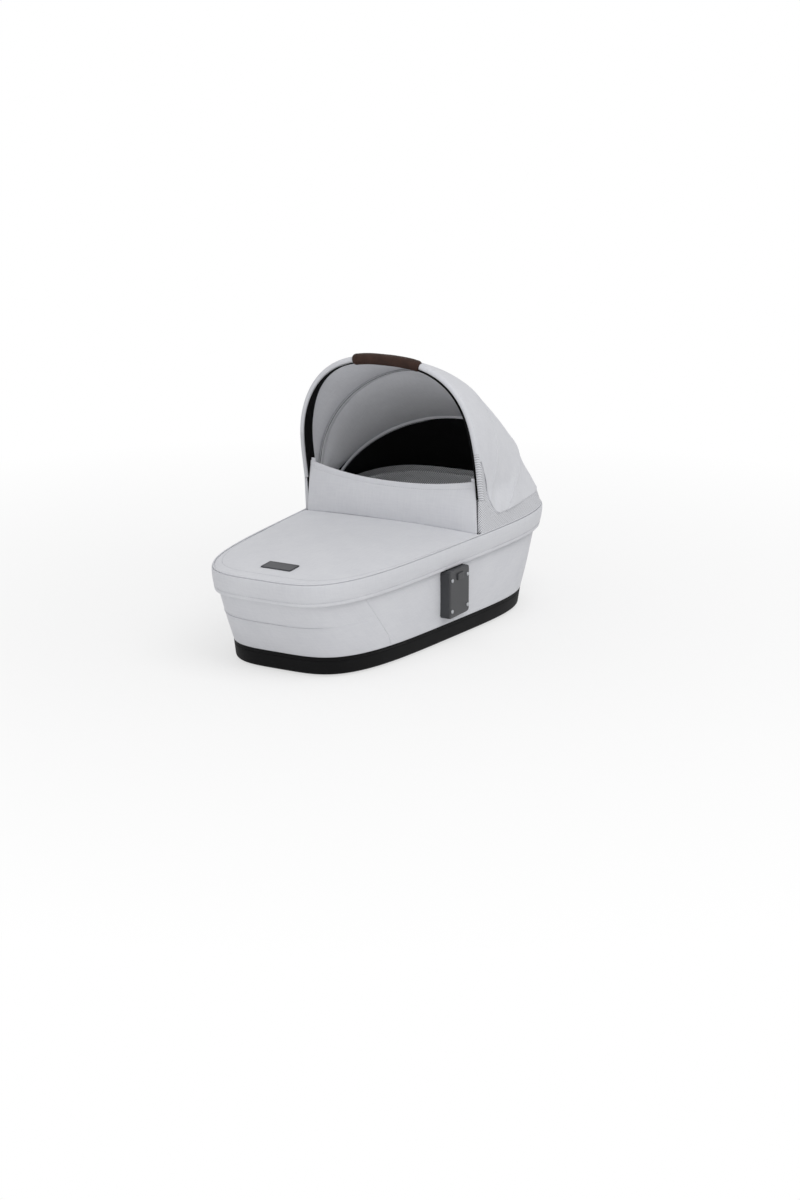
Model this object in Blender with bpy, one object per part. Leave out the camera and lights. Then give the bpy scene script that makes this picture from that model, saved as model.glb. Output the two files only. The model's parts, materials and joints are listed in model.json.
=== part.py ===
"""Carrycot for a pushchair chassis, with a folding hood and a fold-down wind flap.

Metres, +Z up. The floor under the rubber feet is Z = 0, X is the width, the foot end points
towards -Y and the head end, under the hood, towards +Y. Each object is one separate piece.
"""

import math
from dataclasses import dataclass, replace

import bmesh
import bpy
import numpy as np

# Shared fits
CLEARANCE = 0.0003
CUT_OVERRUN = 0.02

# Tub, seen from above: the rim is the widest outline, and the tray under it the narrowest
RIM_LENGTH = 0.80
RIM_HALF_WIDTH = 0.187
TRAY_SIDE_INSET = 0.010
TRAY_FOOT_INSET = 0.062
TRAY_HEAD_INSET = 0.082
CORNER_POWER = 3.95
RIM_TAPER_SHARE = 0.16
TRAY_TAPER_SHARE = 0.203
OUTLINE_COUNT = 44

# Heights above the floor
FOOT_STAND = 0.003
TRAY_HEIGHT = 0.034
SEAM_HEIGHT = 0.184

# Tray and its feet
TRAY_WALL = 0.0025
TRAY_DRAFT = 0.004
TRAY_EDGE_RADIUS = 0.005
FOOT_RADIUS = 0.012
FOOT_PEG_RADIUS = 0.003
FOOT_SIDE_INSET = 0.067
FOOT_FRONT_INSET = 0.103
FOOT_REAR_INSET = 0.093

# Walls, from the outside in
BAND_HEIGHT = 0.042
BAND_STEP = 0.011
BAND_FLARE = 0.004
BAND_THICKNESS = 0.0022
COVER_THICKNESS = 0.002
BOARD_THICKNESS = 0.002
LINING_THICKNESS = 0.006
FRAME_WIDTH = 0.014
FRAME_HEIGHT = 0.019
LINING_HEAD_RISE = 0.027
LINING_LEAN = 0.004
LINING_RISE_OFFSET = 0.040
LINING_RISE_RUN = 0.040

# Bedding
FLOOR_BOARD_THICKNESS = 0.004
MATTRESS_THICKNESS = 0.034
MATTRESS_CROWN = 0.007
MATTRESS_SIDE_ROOM = 0.003
MATTRESS_EDGE = 0.007
MATTRESS_DRAWN_IN = 0.003
CROWN_SHARES = (0.8, 0.5, 0.2)

# Apron over the feet, and its badge
APRON_THICKNESS = 0.0022
APRON_CROWN = 0.010
BADGE_WIDTH = 0.061
BADGE_LENGTH = 0.033
BADGE_THICKNESS = 0.0015
BADGE_REACH = 0.072

# Wind flap that stands on the apron
FLAP_BASE_OFFSET = 0.039
FLAP_BASE_SWEEP = 0.018
FLAP_BASE_INSET = 0.006
FLAP_TOP_OFFSET = 0.031
FLAP_TOP_SWEEP = 0.014
FLAP_TOP_INSET = 0.011
FLAP_HEIGHT = 0.071
FLAP_CORNER_RISE = 0.016
FLAP_THICKNESS = 0.003
FLAP_BULGE = 0.004
TAB_WIDTH = 0.010
TAB_HEIGHT = 0.012
TAB_THICKNESS = 0.0015

# Hood pivot: pin, eyes and the arms that turn on it
PIVOT_Y = 0.085
PIVOT_DROP = 0.008
PIN_RADIUS = 0.003
PIN_HEAD_RADIUS = 0.006
PIN_HEAD_DEPTH = 0.0012
ARM_WIDTH = 0.018
ARM_THICKNESS = 0.005
HOOP_STRIP = 0.0017
HOOP_WIDTH = 0.005
EYE_RADIUS = 0.008
HOOD_COUNT = 41

# Front bow
BOW_RISE = 0.3104
BOW_TOP_OFFSET = 0.0355
BOW_FOOT_RISE = 0.0648
BOW_LEG_RISE = 0.0372
BOW_KNEE_DROP = 0.1364
BOW_KNEE_BEND = 0.03
BOW_LEAN_SHARE = 0.204
BOW_POWER = 2.65
BOW_TUBE_RADIUS = 0.0042
SLEEVE_THICKNESS = 0.001
FACING_DEPTH = 0.027
FACING_FOOT_DEPTH = 0.014
FACING_TOP_DEPTH = 0.012
FACING_THICKNESS = 0.0025
FACING_WIDENING = 0.0362
GRIP_LENGTH = 0.140
GRIP_RADIUS = 0.0105
GRIP_ROUNDING = 0.006
GRIP_END_SHARE = 0.85

# Middle and rear hoops, in degrees up from the head end
FRONT_REST_DEG = 96.0
MID_REST_DEG = 72.0
REAR_REST_DEG = 30.0
FRONT_FOLDED_DEG = 42.0
MID_FOLDED_DEG = 28.0
REAR_FOLDED_DEG = 20.0
MID_REACH = 0.291
MID_POWER = 1.95
REAR_REACH = 0.305
REAR_POWER = 2.1
HOOP_LEG = 0.12

# Hood fabric
FABRIC_THICKNESS = 0.0015
FABRIC_STANDOFF = 0.0016
SKIRT_RISE = 0.033
PANEL_SAG = 0.006
SKIRT_LEAN = 0.010
SKIRT_LEAN_OFFSET = 0.065
SKIRT_LEAN_RUN = 0.11
MESH_THICKNESS = 0.001
MESH_STANDOFF = 0.004

# Chassis adapters on the sides
ADAPTER_Y = -0.020
ADAPTER_WIDTH = 0.074
ADAPTER_TRAY_GAP = 0.015
ADAPTER_HEM_GAP = 0.0015
ADAPTER_DEPTH = 0.0185
ADAPTER_ROUNDING = 0.005
SOCKET_WIDTH = 0.042
SOCKET_DEPTH = 0.008
SOCKET_WALL = 0.004
SOCKET_ROOF = 0.0095
BUTTON_WIDTH = 0.022
BUTTON_HEIGHT = 0.012
BUTTON_LENGTH = 0.0085
BUTTON_TRAVEL = 0.003
BUTTON_TOP_MARGIN = 0.007
BUTTON_ROUNDING = 0.002
SPRING_LENGTH = 0.0048
SPRING_RADIUS = 0.0038
SPRING_WIRE_RADIUS = 0.0004
SPRING_TURNS = 3
SCREW_RADIUS = 0.002
SCREW_HEAD_RADIUS = 0.0038
SCREW_HEAD_HEIGHT = 0.002
SCREW_SPREAD = 0.029
SCREW_BASE_MARGIN = 0.014
SCREW_TOP_MARGIN = 0.0165


def smooth_step(value, low, high):
    """0 up to low, 1 from high on, and a smooth rise between."""
    share = np.clip((np.asarray(value, float) - low) / (high - low), 0.0, 1.0)
    return share * share * (3.0 - 2.0 * share)


def run_length(points):
    """Distance travelled along a line of points, at each of them."""
    steps = np.linalg.norm(np.diff(points, axis=0), axis=1)
    return np.concatenate([[0.0], np.cumsum(steps)])


def along_line(wanted, run, rows):
    """The rows of values at the distances wanted."""
    return np.stack([np.interp(wanted, run, rows[:, i]) for i in range(rows.shape[1])], axis=-1)


@dataclass(frozen=True)
class Outline:
    """A rounded box seen from above, wider at the head end than at the foot end."""

    half_width: float
    foot_reach: float
    head_reach: float
    power: float
    taper_share: float

    def inset(self, by):
        """The same outline, drawn in by a distance all round."""
        return replace(
            self,
            half_width=self.half_width - by,
            foot_reach=self.foot_reach - by,
            head_reach=self.head_reach - by,
        )

    def blend(self, other, share):
        """The outline a share of the way from this one to the other."""
        mixed = {}
        for name in ("half_width", "foot_reach", "head_reach", "power", "taper_share"):
            mixed[name] = (1.0 - share) * getattr(self, name) + share * getattr(other, name)
        return Outline(**mixed)

    def at(self, angle):
        """Points at these angles, counted from +X towards the head end."""
        cosine, sine = np.cos(angle), np.sin(angle)
        reach = np.where(sine > 0.0, self.head_reach, self.foot_reach)
        y = reach * np.sign(sine) * np.abs(sine) ** (2.0 / self.power)
        x = self.half_width * np.sign(cosine) * np.abs(cosine) ** (2.0 / self.power)
        x = x * (1.0 + self.taper_share * 2.0 * y / RIM_LENGTH)
        return np.stack([x, y], axis=-1)

    def points(self, count=OUTLINE_COUNT):
        """Points all round."""
        return self.at(np.arange(count) * 2.0 * math.pi / count + math.pi / count)

    def half_width_at(self, y):
        """How far the side of the outline's polygon stands from the middle plane at this Y."""
        side = self.points()
        side = side[side[:, 0] > 0.0]
        side = side[np.argsort(side[:, 1])]
        return np.interp(y, side[:, 1], side[:, 0])

    def round_head(self, start_y, count):
        """Evenly spaced points from -X at start_y, round the head end, to +X at start_y.

        The second result is the level step inwards at each point.
        """
        dense = self.at(np.linspace(math.pi, 0.0, 40 * count))
        dense = dense[dense[:, 1] >= start_y]
        run = run_length(dense)
        at = along_line(np.linspace(0.0, run[-1], count), run, dense)
        step = np.gradient(at, axis=0)
        inward = np.stack([step[:, 1], -step[:, 0]], axis=-1)
        return at, inward / np.linalg.norm(inward, axis=1)[:, None]


RIM = Outline(RIM_HALF_WIDTH, RIM_LENGTH / 2.0, RIM_LENGTH / 2.0, CORNER_POWER, RIM_TAPER_SHARE)
WALL_TOP = RIM.inset(BAND_STEP)
TRAY_TOP = Outline(
    RIM_HALF_WIDTH - TRAY_SIDE_INSET,
    RIM_LENGTH / 2.0 - TRAY_FOOT_INSET,
    RIM_LENGTH / 2.0 - TRAY_HEAD_INSET,
    CORNER_POWER,
    TRAY_TAPER_SHARE,
)

# Heights that follow from the sizes above
TRAY_TOP_HEIGHT = FOOT_STAND + TRAY_HEIGHT
TRAY_FLOOR_HEIGHT = FOOT_STAND + TRAY_WALL
FLOOR_BOARD_HEIGHT = TRAY_FLOOR_HEIGHT + CLEARANCE
BEDDING_HEIGHT = FLOOR_BOARD_HEIGHT + FLOOR_BOARD_THICKNESS + CLEARANCE
APRON_BASE_HEIGHT = SEAM_HEIGHT - APRON_THICKNESS
FRAME_TOP_HEIGHT = APRON_BASE_HEIGHT - CLEARANCE
FRAME_BASE_HEIGHT = FRAME_TOP_HEIGHT - FRAME_HEIGHT
WALL_TOP_HEIGHT = FRAME_BASE_HEIGHT - CLEARANCE
HEM_HEIGHT = SEAM_HEIGHT - BAND_HEIGHT
PIVOT_HEIGHT = SEAM_HEIGHT - PIVOT_DROP
BOW_TOP_HEIGHT = SEAM_HEIGHT + BOW_RISE
BOW_KNEE_HEIGHT = BOW_TOP_HEIGHT - BOW_KNEE_DROP
BOW_FOOT_HEIGHT = SEAM_HEIGHT + BOW_FOOT_RISE
BOW_SHOULDER_HEIGHT = BOW_FOOT_HEIGHT + BOW_LEG_RISE
PANEL_LOWER_HEIGHT = SEAM_HEIGHT + SKIRT_RISE
ADAPTER_BASE_HEIGHT = TRAY_TOP_HEIGHT + ADAPTER_TRAY_GAP
ADAPTER_TOP_HEIGHT = HEM_HEIGHT - ADAPTER_HEM_GAP
BUTTON_CENTRE_HEIGHT = ADAPTER_TOP_HEIGHT - BUTTON_TOP_MARGIN - BUTTON_HEIGHT / 2.0
SOCKET_TOP_HEIGHT = BUTTON_CENTRE_HEIGHT - BUTTON_HEIGHT / 2.0 - SOCKET_ROOF
SCREW_HEIGHTS = (ADAPTER_BASE_HEIGHT + SCREW_BASE_MARGIN, ADAPTER_TOP_HEIGHT - SCREW_TOP_MARGIN)

# Places that follow from the pivot's place and the rim's width
FLAP_BASE_Y = PIVOT_Y - FLAP_BASE_OFFSET
FLAP_TOP_Y = PIVOT_Y - FLAP_TOP_OFFSET
FLAP_BASE_HALF_WIDTH = RIM_HALF_WIDTH - FLAP_BASE_INSET
FLAP_TOP_HALF_WIDTH = RIM_HALF_WIDTH - FLAP_TOP_INSET
BOW_TOP_Y = PIVOT_Y - BOW_TOP_OFFSET
LINING_RISE_START = PIVOT_Y + LINING_RISE_OFFSET
SKIRT_LEAN_START = PIVOT_Y + SKIRT_LEAN_OFFSET

# How far each wall's outer face is drawn in from the tub's own outer face
BOARD_INSET = max(TRAY_WALL, COVER_THICKNESS) + CLEARANCE
BOARD_INNER_INSET = BOARD_INSET + BOARD_THICKNESS
FRAME_INSET = BAND_THICKNESS + CLEARANCE
FRAME_INNER_INSET = FRAME_INSET + FRAME_WIDTH
LINING_INSET = max(BOARD_INNER_INSET, FRAME_INNER_INSET - BAND_STEP) + CLEARANCE
LINING_INNER_INSET = LINING_INSET + LINING_THICKNESS

# The pivot's pieces along X, from the outside in
ARM_OUTER_X = float(RIM.half_width_at(PIVOT_Y - ARM_WIDTH)) - FRAME_INSET - CLEARANCE
ARM_INNER_X = ARM_OUTER_X - ARM_THICKNESS
MID_HOOP_X = ARM_INNER_X - CLEARANCE - HOOP_STRIP / 2.0
REAR_HOOP_X = MID_HOOP_X - HOOP_STRIP - CLEARANCE
POCKET_FLOOR_X = REAR_HOOP_X - HOOP_STRIP / 2.0 - CLEARANCE
BOW_HALF_SPAN = ARM_OUTER_X - ARM_THICKNESS / 2.0
SLEEVE_INNER_RADIUS = BOW_TUBE_RADIUS + CLEARANCE
SLEEVE_RADIUS = SLEEVE_INNER_RADIUS + SLEEVE_THICKNESS

# The adapters' pieces along X
ADAPTER_INNER_X = float(WALL_TOP.half_width_at(ADAPTER_Y))
ADAPTER_FACE_X = ADAPTER_INNER_X + ADAPTER_DEPTH
BUTTON_FACE_X = ADAPTER_FACE_X + BUTTON_TRAVEL
BUTTON_BACK_X = BUTTON_FACE_X - BUTTON_LENGTH
SPRING_BACK_X = BUTTON_BACK_X - CLEARANCE - SPRING_LENGTH
BUTTON_POCKET_X = SPRING_BACK_X - CLEARANCE

SIDES = (("left", -1.0), ("right", 1.0))


def shell_outline(height):
    """The tub's outer face at this height: tray, then wall, then the wall under the band."""
    if height <= TRAY_TOP_HEIGHT:
        share = (TRAY_TOP_HEIGHT - height) / TRAY_HEIGHT
        return TRAY_TOP.inset(TRAY_DRAFT * share)
    share = min((height - TRAY_TOP_HEIGHT) / (HEM_HEIGHT - TRAY_TOP_HEIGHT), 1.0)
    return TRAY_TOP.blend(WALL_TOP, share)


def clear_scene():
    """Removes the startup scene's objects."""
    for old in list(bpy.data.objects):
        bpy.data.objects.remove(old, do_unlink=True)


def material(name, colour, roughness, metallic=0.0):
    """A Principled material, made once."""
    found = bpy.data.materials.get(name)
    if found:
        return found
    made = bpy.data.materials.new(name)
    made.use_nodes = True
    made.diffuse_color = (*colour, 1.0)
    shader = made.node_tree.nodes["Principled BSDF"]
    shader.inputs["Base Color"].default_value = (*colour, 1.0)
    shader.inputs["Roughness"].default_value = roughness
    shader.inputs["Metallic"].default_value = metallic
    return made


def shell_fabric():
    return material("light_grey_fabric", (0.56, 0.57, 0.59), 0.85)


def lining_fabric():
    return material("grey_lining", (0.34, 0.35, 0.37), 0.9)


def mattress_fabric():
    return material("white_ticking", (0.75, 0.75, 0.74), 0.9)


def mesh_fabric():
    return material("black_mesh", (0.01, 0.01, 0.011), 0.8)


def black_plastic():
    return material("black_plastic", (0.012, 0.012, 0.013), 0.5)


def dark_plastic():
    return material("dark_grey_plastic", (0.04, 0.041, 0.044), 0.45)


def frame_plastic():
    return material("frame_plastic", (0.10, 0.10, 0.105), 0.5)


def board_plastic():
    return material("board_plastic", (0.30, 0.30, 0.31), 0.6)


def leatherette():
    return material("brown_leatherette", (0.045, 0.026, 0.02), 0.55)


def foot_rubber():
    return material("foot_rubber", (0.02, 0.02, 0.02), 0.8)


def tube_aluminium():
    return material("tube_aluminium", (0.60, 0.61, 0.62), 0.35, 1.0)


def pin_steel():
    return material("pin_steel", (0.45, 0.45, 0.46), 0.3, 1.0)


def badge_metal():
    return material("badge_metal", (0.09, 0.095, 0.105), 0.4, 0.6)


def piece(name, points, faces, finish, origin=(0.0, 0.0, 0.0)):
    """An object from points in the world's own axes, with its origin where it is told to be."""
    mesh = bpy.data.meshes.new(name)
    local = np.asarray(points, float).reshape(-1, 3) - np.asarray(origin, float)
    mesh.from_pydata(local.tolist(), [], faces)
    build = bmesh.new()
    build.from_mesh(mesh)
    quads = [face for face in build.faces if len(face.verts) == 4]
    bmesh.ops.triangulate(build, faces=quads, quad_method="SHORT_EDGE")
    bmesh.ops.recalc_face_normals(build, faces=build.faces)
    build.to_mesh(mesh)
    build.free()
    mesh.shade_smooth()
    mesh.set_sharp_from_angle(angle=math.radians(35.0))
    made = bpy.data.objects.new(name, mesh)
    made.location = origin
    if finish:
        made.data.materials.append(finish)
    bpy.context.scene.collection.objects.link(made)
    return made


def ring_faces(rings, around, looped):
    """Quads between neighbouring rings, with the last joined to the first or both ends capped."""
    faces = []
    for ring in range(rings if looped else rings - 1):
        low, high = ring * around, ((ring + 1) % rings) * around
        for i in range(around):
            j = (i + 1) % around
            faces.append((low + i, low + j, high + j, high + i))
    if not looped:
        faces.append(tuple(reversed(range(around))))
        faces.append(tuple(range((rings - 1) * around, rings * around)))
    return faces


def ring_piece(name, rings, finish, looped=False, origin=(0.0, 0.0, 0.0)):
    """A solid whose surface runs through rings of points, in order."""
    rings = np.asarray(rings, float)
    faces = ring_faces(rings.shape[0], rings.shape[1], looped)
    return piece(name, rings, faces, finish, origin)


def level_ring(outline, height):
    """A level ring of points on an outline. height may differ from point to point."""
    flat = outline.points()
    return np.column_stack([flat, np.broadcast_to(height, len(flat))])


def sheet_piece(name, outer, inner, finish, origin=(0.0, 0.0, 0.0)):
    """A thin solid between two grids of points with the same rows and columns."""
    rows, columns = outer.shape[:2]
    size = rows * columns
    faces = []
    for i in range(rows - 1):
        for j in range(columns - 1):
            a, b = i * columns + j, (i + 1) * columns + j
            faces.append((a, a + 1, b + 1, b))
            faces.append((size + a, size + b, size + b + 1, size + a + 1))
    border = [j for j in range(columns)]
    border += [i * columns + columns - 1 for i in range(1, rows)]
    border += [(rows - 1) * columns + j for j in range(columns - 2, -1, -1)]
    border += [i * columns for i in range(rows - 2, 0, -1)]
    for here, there in zip(border, border[1:] + border[:1]):
        faces.append((there, here, size + here, size + there))
    points = np.concatenate([outer.reshape(-1, 3), inner.reshape(-1, 3)])
    return piece(name, points, faces, finish, origin)


def turned_rings(profile, segments, centre, axis):
    """Rings of a turned shape: profile holds (radius, distance along the axis)."""
    axes = {"X": (1, 2, 0), "Y": (2, 0, 1), "Z": (0, 1, 2)}[axis]
    turn = (np.arange(segments) + 0.5) * 2.0 * math.pi / segments
    rings = np.zeros((len(profile), segments, 3))
    for row, (radius, along) in enumerate(profile):
        rings[row, :, axes[0]] = radius * np.cos(turn)
        rings[row, :, axes[1]] = radius * np.sin(turn)
        rings[row, :, axes[2]] = along
    return rings + np.asarray(centre, float)


def box_piece(name, low, high, finish, rounding=0.0, segments=2):
    """A box from corner to corner, with its edges rounded by a Bevel modifier."""
    low, high = np.asarray(low, float), np.asarray(high, float)
    corners = [
        (x, y, z)
        for z in (low[2], high[2])
        for x, y in ((low[0], low[1]), (high[0], low[1]), (high[0], high[1]), (low[0], high[1]))
    ]
    made = piece(name, corners, ring_faces(2, 4, False), finish, (low + high) / 2.0)
    if rounding:
        bevel = made.modifiers.new("rounding", "BEVEL")
        bevel.width = rounding
        bevel.segments = segments
        bevel.limit_method = "ANGLE"
    return made


def as_cutter(tool):
    """Keeps a helper solid out of the model."""
    tool.hide_render = True
    tool.display_type = "WIRE"
    return tool


def cut(target, tool):
    """Takes the tool's solid away from the target."""
    boolean = target.modifiers.new("cut_" + tool.name, "BOOLEAN")
    boolean.operation = "DIFFERENCE"
    boolean.solver = "EXACT"
    boolean.object = tool


def joined_rings(name, shapes):
    """One cutter made of several capped ring shapes that don't touch."""
    points, faces = [], []
    for rings in shapes:
        start = sum(len(part) for part in points)
        count, around = rings.shape[:2]
        faces += [tuple(start + i for i in face) for face in ring_faces(count, around, False)]
        points.append(rings.reshape(-1, 3))
    return as_cutter(piece(name, np.concatenate(points), faces, None))


def pivot_empty(name, location):
    """An empty on a joint's axis, which carries the pieces that turn there."""
    made = bpy.data.objects.new(name, None)
    made.empty_display_size = EYE_RADIUS
    made.location = location
    bpy.context.scene.collection.objects.link(made)
    return made


def carry(empty, *pieces):
    """Parents pieces whose origins lie on the empty."""
    for each in pieces:
        each.parent = empty
        each.location = (0.0, 0.0, 0.0)


# Tub


def base_tray():
    """Moulded tray: rounded lower edge, plain floor, open top, and a hole for each foot's peg."""
    edge = min(TRAY_EDGE_RADIUS, 2.0 * TRAY_WALL)
    rings = []
    for degrees in (0.0, 30.0, 60.0, 90.0):
        lean = math.radians(degrees)
        height = FOOT_STAND + edge * (1.0 - math.cos(lean))
        inset = edge * (1.0 - math.sin(lean))
        rings.append(level_ring(shell_outline(height).inset(inset), height))
    rings.append(level_ring(TRAY_TOP, TRAY_TOP_HEIGHT))
    rings.append(level_ring(TRAY_TOP.inset(TRAY_WALL), TRAY_TOP_HEIGHT))
    floor = shell_outline(TRAY_FLOOR_HEIGHT).inset(TRAY_WALL)
    rings.append(level_ring(floor, TRAY_FLOOR_HEIGHT))
    tray = ring_piece("base_tray", rings, black_plastic())
    radius = FOOT_PEG_RADIUS + CLEARANCE
    holes = [
        turned_rings([(radius, -CUT_OVERRUN), (radius, CUT_OVERRUN)], 12, (x, y, 0.0), "Z")
        for _, x, y in foot_places()
    ]
    cut(tray, joined_rings("peg_holes", holes))
    return tray


def foot_places():
    """Name, X and Y of each rubber foot."""
    places = []
    x = TRAY_TOP.half_width - FOOT_SIDE_INSET
    front, rear = FOOT_FRONT_INSET - TRAY_TOP.foot_reach, TRAY_TOP.head_reach - FOOT_REAR_INSET
    for end, y in (("front", front), ("rear", rear)):
        for side, sign in SIDES:
            places.append((f"foot_pad_{end}_{side}", sign * x, y))
    return places


def foot_pads():
    """Turned rubber feet, each with a peg through the tray's floor."""
    top = FOOT_STAND - CLEARANCE
    chamfer = top / 3.0
    profile = [
        (FOOT_RADIUS - chamfer, 0.0),
        (FOOT_RADIUS, chamfer),
        (FOOT_RADIUS, top),
        (FOOT_PEG_RADIUS, top),
        (FOOT_PEG_RADIUS, TRAY_FLOOR_HEIGHT),
    ]
    for name, x, y in foot_places():
        rings = turned_rings(profile, 12, (x, y, 0.0), "Z")
        ring_piece(name, rings, foot_rubber(), origin=(x, y, 0.0))


def wall_ring(outer_inset, inner_inset, heights):
    """Rings of a wall between two insets, up the outside and down the inside."""
    rings = [level_ring(shell_outline(h).inset(outer_inset), h) for h in heights]
    rings += [level_ring(shell_outline(h).inset(inner_inset), h) for h in reversed(heights)]
    return rings


def wall_board():
    """Stiff board that gives the tub its shape, from the tray's floor to the rim frame."""
    heights = (FLOOR_BOARD_HEIGHT, TRAY_TOP_HEIGHT, HEM_HEIGHT, WALL_TOP_HEIGHT)
    rings = wall_ring(BOARD_INSET, BOARD_INNER_INSET, heights)
    board = ring_piece("wall_board", rings, board_plastic(), looped=True)
    cut(board, bpy.data.objects["screw_bores"])


def outer_cover():
    """Fabric over the board, from the tray's top edge to the rim frame."""
    heights = (TRAY_TOP_HEIGHT + CLEARANCE, HEM_HEIGHT, WALL_TOP_HEIGHT)
    rings = wall_ring(0.0, COVER_THICKNESS, heights)
    cover = ring_piece("outer_cover", rings, shell_fabric(), looped=True)
    cut(cover, bpy.data.objects["screw_bores"])


def fold_room():
    """How far behind the pivot the rim frame is open, so that the arms and hoops can fold."""
    rise = FRAME_TOP_HEIGHT - PIVOT_HEIGHT
    room = 0.0
    for degrees, width in (
        (FRONT_FOLDED_DEG, ARM_WIDTH),
        (MID_FOLDED_DEG, HOOP_WIDTH),
        (REAR_FOLDED_DEG, HOOP_WIDTH),
    ):
        lean, half = math.radians(degrees), width / 2.0
        along = (rise + half * math.cos(lean)) / math.sin(lean)
        room = max(room, along * math.cos(lean) + half * math.sin(lean))
    return max(room, ARM_WIDTH / 2.0) + 2.0 * CLEARANCE


def rest_room():
    """How far ahead of the pivot the rim frame is open for the upright arms."""
    lean = math.atan(BOW_LEAN_SHARE)
    rise = FRAME_TOP_HEIGHT - PIVOT_HEIGHT
    return ARM_WIDTH / 2.0 / math.cos(lean) + rise * math.tan(lean) + 2.0 * CLEARANCE


def rim_frame():
    """Stiff ring round the top of the tub, with an open pocket and a bored wall for each pivot."""
    outer, inner = RIM.inset(FRAME_INSET), RIM.inset(FRAME_INNER_INSET)
    rings = [
        level_ring(outer, FRAME_BASE_HEIGHT),
        level_ring(outer, FRAME_TOP_HEIGHT),
        level_ring(inner, FRAME_TOP_HEIGHT),
        level_ring(inner, FRAME_BASE_HEIGHT),
    ]
    frame = ring_piece("rim_frame", rings, frame_plastic(), looped=True)
    half = ARM_WIDTH / 2.0
    low = PIVOT_HEIGHT - half - 2.0 * CLEARANCE
    pockets = []
    for _, sign in SIDES:
        x = sorted((sign * POCKET_FLOOR_X, sign * (POCKET_FLOOR_X + CUT_OVERRUN)))
        y = (PIVOT_Y - rest_room(), PIVOT_Y + fold_room())
        corners = [(x[0], y[0]), (x[1], y[0]), (x[1], y[1]), (x[0], y[1])]
        pockets.append(
            np.array([[(a, b, h) for a, b in corners] for h in (low, low + CUT_OVERRUN)])
        )
    cut(frame, joined_rings("pivot_pockets", pockets))
    cut(frame, bpy.data.objects["pivot_bore"])


def rim_band():
    """Padded fabric band that hides the frame, a step proud of the wall below it."""
    inner = RIM.inset(BAND_THICKNESS)
    wall = WALL_TOP.inset(-CLEARANCE)
    shelf = WALL_TOP_HEIGHT - CLEARANCE
    belly = (HEM_HEIGHT + SEAM_HEIGHT) / 2.0
    shoulder = SEAM_HEIGHT - BAND_FLARE
    rings = [
        level_ring(RIM.inset(BAND_FLARE), HEM_HEIGHT),
        level_ring(RIM.inset(BAND_FLARE / 4.0), belly),
        level_ring(RIM, shoulder),
        level_ring(RIM.inset(BAND_THICKNESS / 3.0), SEAM_HEIGHT),
        level_ring(inner, SEAM_HEIGHT),
        level_ring(inner, shelf),
        level_ring(wall, shelf),
        level_ring(wall, HEM_HEIGHT),
    ]
    ring_piece("rim_band", rings, shell_fabric(), looped=True)


def inner_lining():
    """Padded lining. It stops under the apron at the foot end and stands up at the head end."""
    foot_top = FRAME_TOP_HEIGHT - CLEARANCE
    rings = [
        level_ring(shell_outline(BEDDING_HEIGHT).inset(LINING_INSET), BEDDING_HEIGHT),
        level_ring(TRAY_TOP.inset(LINING_INSET), TRAY_TOP_HEIGHT),
        level_ring(WALL_TOP.inset(LINING_INSET), HEM_HEIGHT),
        level_ring(WALL_TOP.inset(LINING_INSET), foot_top - LINING_LEAN),
    ]
    for inset in (LINING_INSET, LINING_INNER_INSET):
        outline = WALL_TOP.inset(inset + LINING_LEAN)
        past = outline.points()[:, 1] - LINING_RISE_START
        rise = smooth_step(past, 0.0, LINING_RISE_RUN)
        rings.append(level_ring(outline, foot_top + LINING_HEAD_RISE * rise))
    rings += [
        level_ring(WALL_TOP.inset(LINING_INNER_INSET), foot_top - LINING_LEAN),
        level_ring(WALL_TOP.inset(LINING_INNER_INSET), HEM_HEIGHT),
        level_ring(TRAY_TOP.inset(LINING_INNER_INSET), TRAY_TOP_HEIGHT),
        level_ring(shell_outline(BEDDING_HEIGHT).inset(LINING_INNER_INSET), BEDDING_HEIGHT),
    ]
    ring_piece("inner_lining", rings, lining_fabric(), looped=True)


def floor_board():
    """Flat board on the tray's floor, under the mattress."""
    inset = BOARD_INNER_INSET + CLEARANCE
    outline = shell_outline(FLOOR_BOARD_HEIGHT).inset(inset)
    top = FLOOR_BOARD_HEIGHT + FLOOR_BOARD_THICKNESS
    rings = [level_ring(outline, FLOOR_BOARD_HEIGHT), level_ring(outline, top)]
    ring_piece("floor_board", rings, board_plastic())


def mattress():
    """Cushion with drawn-in sides and a low crown."""
    room = LINING_INNER_INSET + MATTRESS_SIDE_ROOM
    side = shell_outline(BEDDING_HEIGHT).inset(room)
    top = BEDDING_HEIGHT + MATTRESS_THICKNESS
    edge = MATTRESS_EDGE
    rings = [
        level_ring(side.inset(edge / 2.0), BEDDING_HEIGHT),
        level_ring(side, BEDDING_HEIGHT + edge / 2.0),
        level_ring(side.inset(MATTRESS_DRAWN_IN), (BEDDING_HEIGHT + top) / 2.0),
        level_ring(side, top - edge / 2.0),
        level_ring(side.inset(edge / 2.0), top),
    ]
    crown = side.inset(edge / 2.0).points()
    for share in CROWN_SHARES:
        height = top + MATTRESS_CROWN * (1.0 - share * share)
        rings.append(np.column_stack([crown * share, np.full(len(crown), height)]))
    ring_piece("mattress", rings, mattress_fabric())


def apron_surface(across, y):
    """Height of the apron's upper face. across runs from -1 to 1 between its long edges."""
    fall = 1.0 - np.clip(-y / RIM.foot_reach, 0.0, 1.0) ** 6.0
    return SEAM_HEIGHT + APRON_CROWN * (1.0 - np.abs(across) ** 2.4) * fall


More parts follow.
